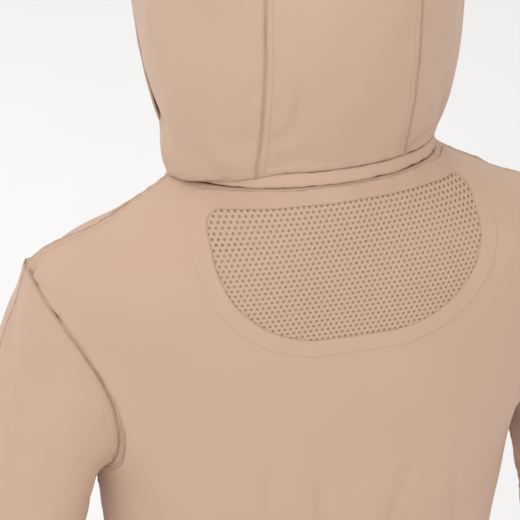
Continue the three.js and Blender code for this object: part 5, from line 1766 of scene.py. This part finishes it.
# A tab of doubled cloth folds over the top of the front zip and keeps the slider off the throat.
x = np.concatenate([[-20, -19.7, -19], np.linspace(-17.5, 23.5, 40), [25, 25.7, 26]])
ups = np.concatenate([[0, 0.4, 1.2], np.linspace(2.5, 12.5, 12), [13.8, 14.6, 15]]) / 15
tab_low, tab_high = ZIP_HIGH + 2, front_length - 3
ups = tab_low + (tab_high - tab_low) * ups
from_ends = np.minimum(ups - tab_low, tab_high - ups)[:, None]
from_sides = np.minimum(x + 20, 26 - x)[None]
deep = -1.0 - 1.5 * smooth(from_ends, -0.2, 1.4) * smooth(from_sides, -0.2, 1.4)
shape = on_zip(x[None] + 0 * deep, deep, ups[:, None] + 0 * deep)
tab = Cloth("throat_tab_cloth", shape, suit_trim, (0, 0.05, 1.45), thick=0.0014,
            relief=0.0003 * waves(shape, 0.02, 351))
finish_piece(tab.obj, "throat_tab", ["throat_tab"])
tab.sheet()

# ---------------------------------------------------------------------------------------------
# Stitching: every seam is topstitched in matching thread, and the patches, pockets, casings and
# bands are sewn down with a row near their edges.
thread, tree, shader = blank("thread")
here = node(tree, "ShaderNodeTexCoord", {}, {}, 3)
thread_colour = mixed(tree, noise(tree, here, 500.0), shade_of(TAN, 0.80), shade_of(TAN, 0.93))
plug(tree, shader.inputs["Base Color"], thread_colour)
plug(tree, shader.inputs["Roughness"], noise(tree, here, 200.0) * 0.15 + 0.6)
bumped(tree, shader, noise(tree, here, 2200.0), 0.00005)
stitch_tree, source, sink = tree_group("stitches", {
    "Pitch": ("Float", 0.0034), "Stitch": ("Object", None), "Material": ("Material", None)})
even, tangent = even_points(stitch_tree, source)
turned = linked(stitch_tree, "FunctionNodeAlignRotationToVector", {"axis": "X"}, {"Vector": tangent})
place_copies(stitch_tree, source, sink, even, "Stitch", turned)

STITCH, STITCH_PITCH = 0.0025, 0.0034
ring4 = np.array([(1, 0), (0, 1), (-1, 0), (0, -1)]) * 0.00021
stitch_middle = [(x, a, b) for x in (-STITCH / 4, STITCH / 4) for a, b in ring4]
stitch_points = [(-STITCH / 2, 0, -0.0001)] + stitch_middle + [(STITCH / 2, 0, -0.0001)]
stitch_faces = [(0, 1 + (i + 1) % 4, 1 + i) for i in range(4)] \
    + [(1 + i, 1 + (i + 1) % 4, 5 + (i + 1) % 4, 5 + i) for i in range(4)] \
    + [(5 + i, 5 + (i + 1) % 4, 9) for i in range(4)]
everywhere, round_sides = ("left", "right", "low", "high"), ("low", "high")
rows_of = {"suit": {
    "back_panel_cloth": (everywhere, (0.0016, 0.0070)),
    "neck_band_cloth": (round_sides, (0.0015,)),
    "chest_pocket_cloth": (everywhere, (0.0016,))}, "hood": {
    "hood_centre_cloth": (("left", "right"), (0.0016, 0.0070)),
    "hood_brim_cloth": (round_sides, (0.0020,)),
    "veil_binding_cloth": (round_sides, (0.0022,)),
    "veil_hem_cloth": (round_sides, (0.0018,)),
    "chin_band_cloth": (round_sides, (0.0016,))}, "chest_flap": {
    "chest_flap_cloth": (everywhere, (0.0018,))}, "throat_tab": {
    "throat_tab_cloth": (everywhere, (0.0020,))}}
for side in ("left", "right"):
    rows_of["suit"].update({
        f"front_panel_{side}_cloth": (everywhere, (0.0016,)),
        f"sleeve_back_{side}_cloth": (everywhere, (0.0016,)),
        f"sleeve_front_{side}_cloth": (everywhere, (0.0016,)),
        f"leg_front_{side}_cloth": (("left", "right"), (0.0016, 0.0070)),
        f"leg_back_{side}_cloth": (("left", "right"), (0.0016,)),
        f"knee_patch_{side}_cloth": (everywhere, (0.0016,)),
        f"hip_pocket_{side}_cloth": (everywhere, (0.0016,)),
        f"ankle_cuff_{side}_cloth": (round_sides, (0.0018,))})
    rows_of["hood"][f"hood_side_{side}_cloth"] = (("left", "right"), (0.0016,))
rows_of["suit"]["waist_band_cloth"] = (round_sides, (0.0016,))
for body, pieces in rows_of.items():
    rails = []
    for name, (sides, insets) in pieces.items():
        for side in sides:
            for inset in insets:
                line = cloths[name].line(side, inset, 0.00012)
                if name in ("neck_band_cloth", "waist_band_cloth") or name.startswith("ankle_cuff"):
                    line = np.concatenate([line, line[:1]])
                far = np.concatenate([[0], np.cumsum(np.linalg.norm(np.diff(line, axis=0), axis=1))])
                trim = min(0.0017 / far[-1], 0.2)
                count = max(len(line), int(far[-1] / STITCH_PITCH))
                rails.append(resampled(line, np.linspace(trim, 1 - trim, count)))
    stitch_mesh = bpy.data.meshes.new("stitch")
    stitch_mesh.from_pydata(stitch_points, [], stitch_faces)
    stitch = bpy.data.objects.new("stitch", stitch_mesh)
    scene.collection.objects.link(stitch)
    sewn = plain_mesh(wire_object(body + "_rails", rails), stitch_tree,
                      {"Pitch": STITCH_PITCH, "Stitch": stitch, "Material": thread}, body + "_stitching")
    bpy.data.objects.remove(stitch)
    finish_piece(sewn, body)
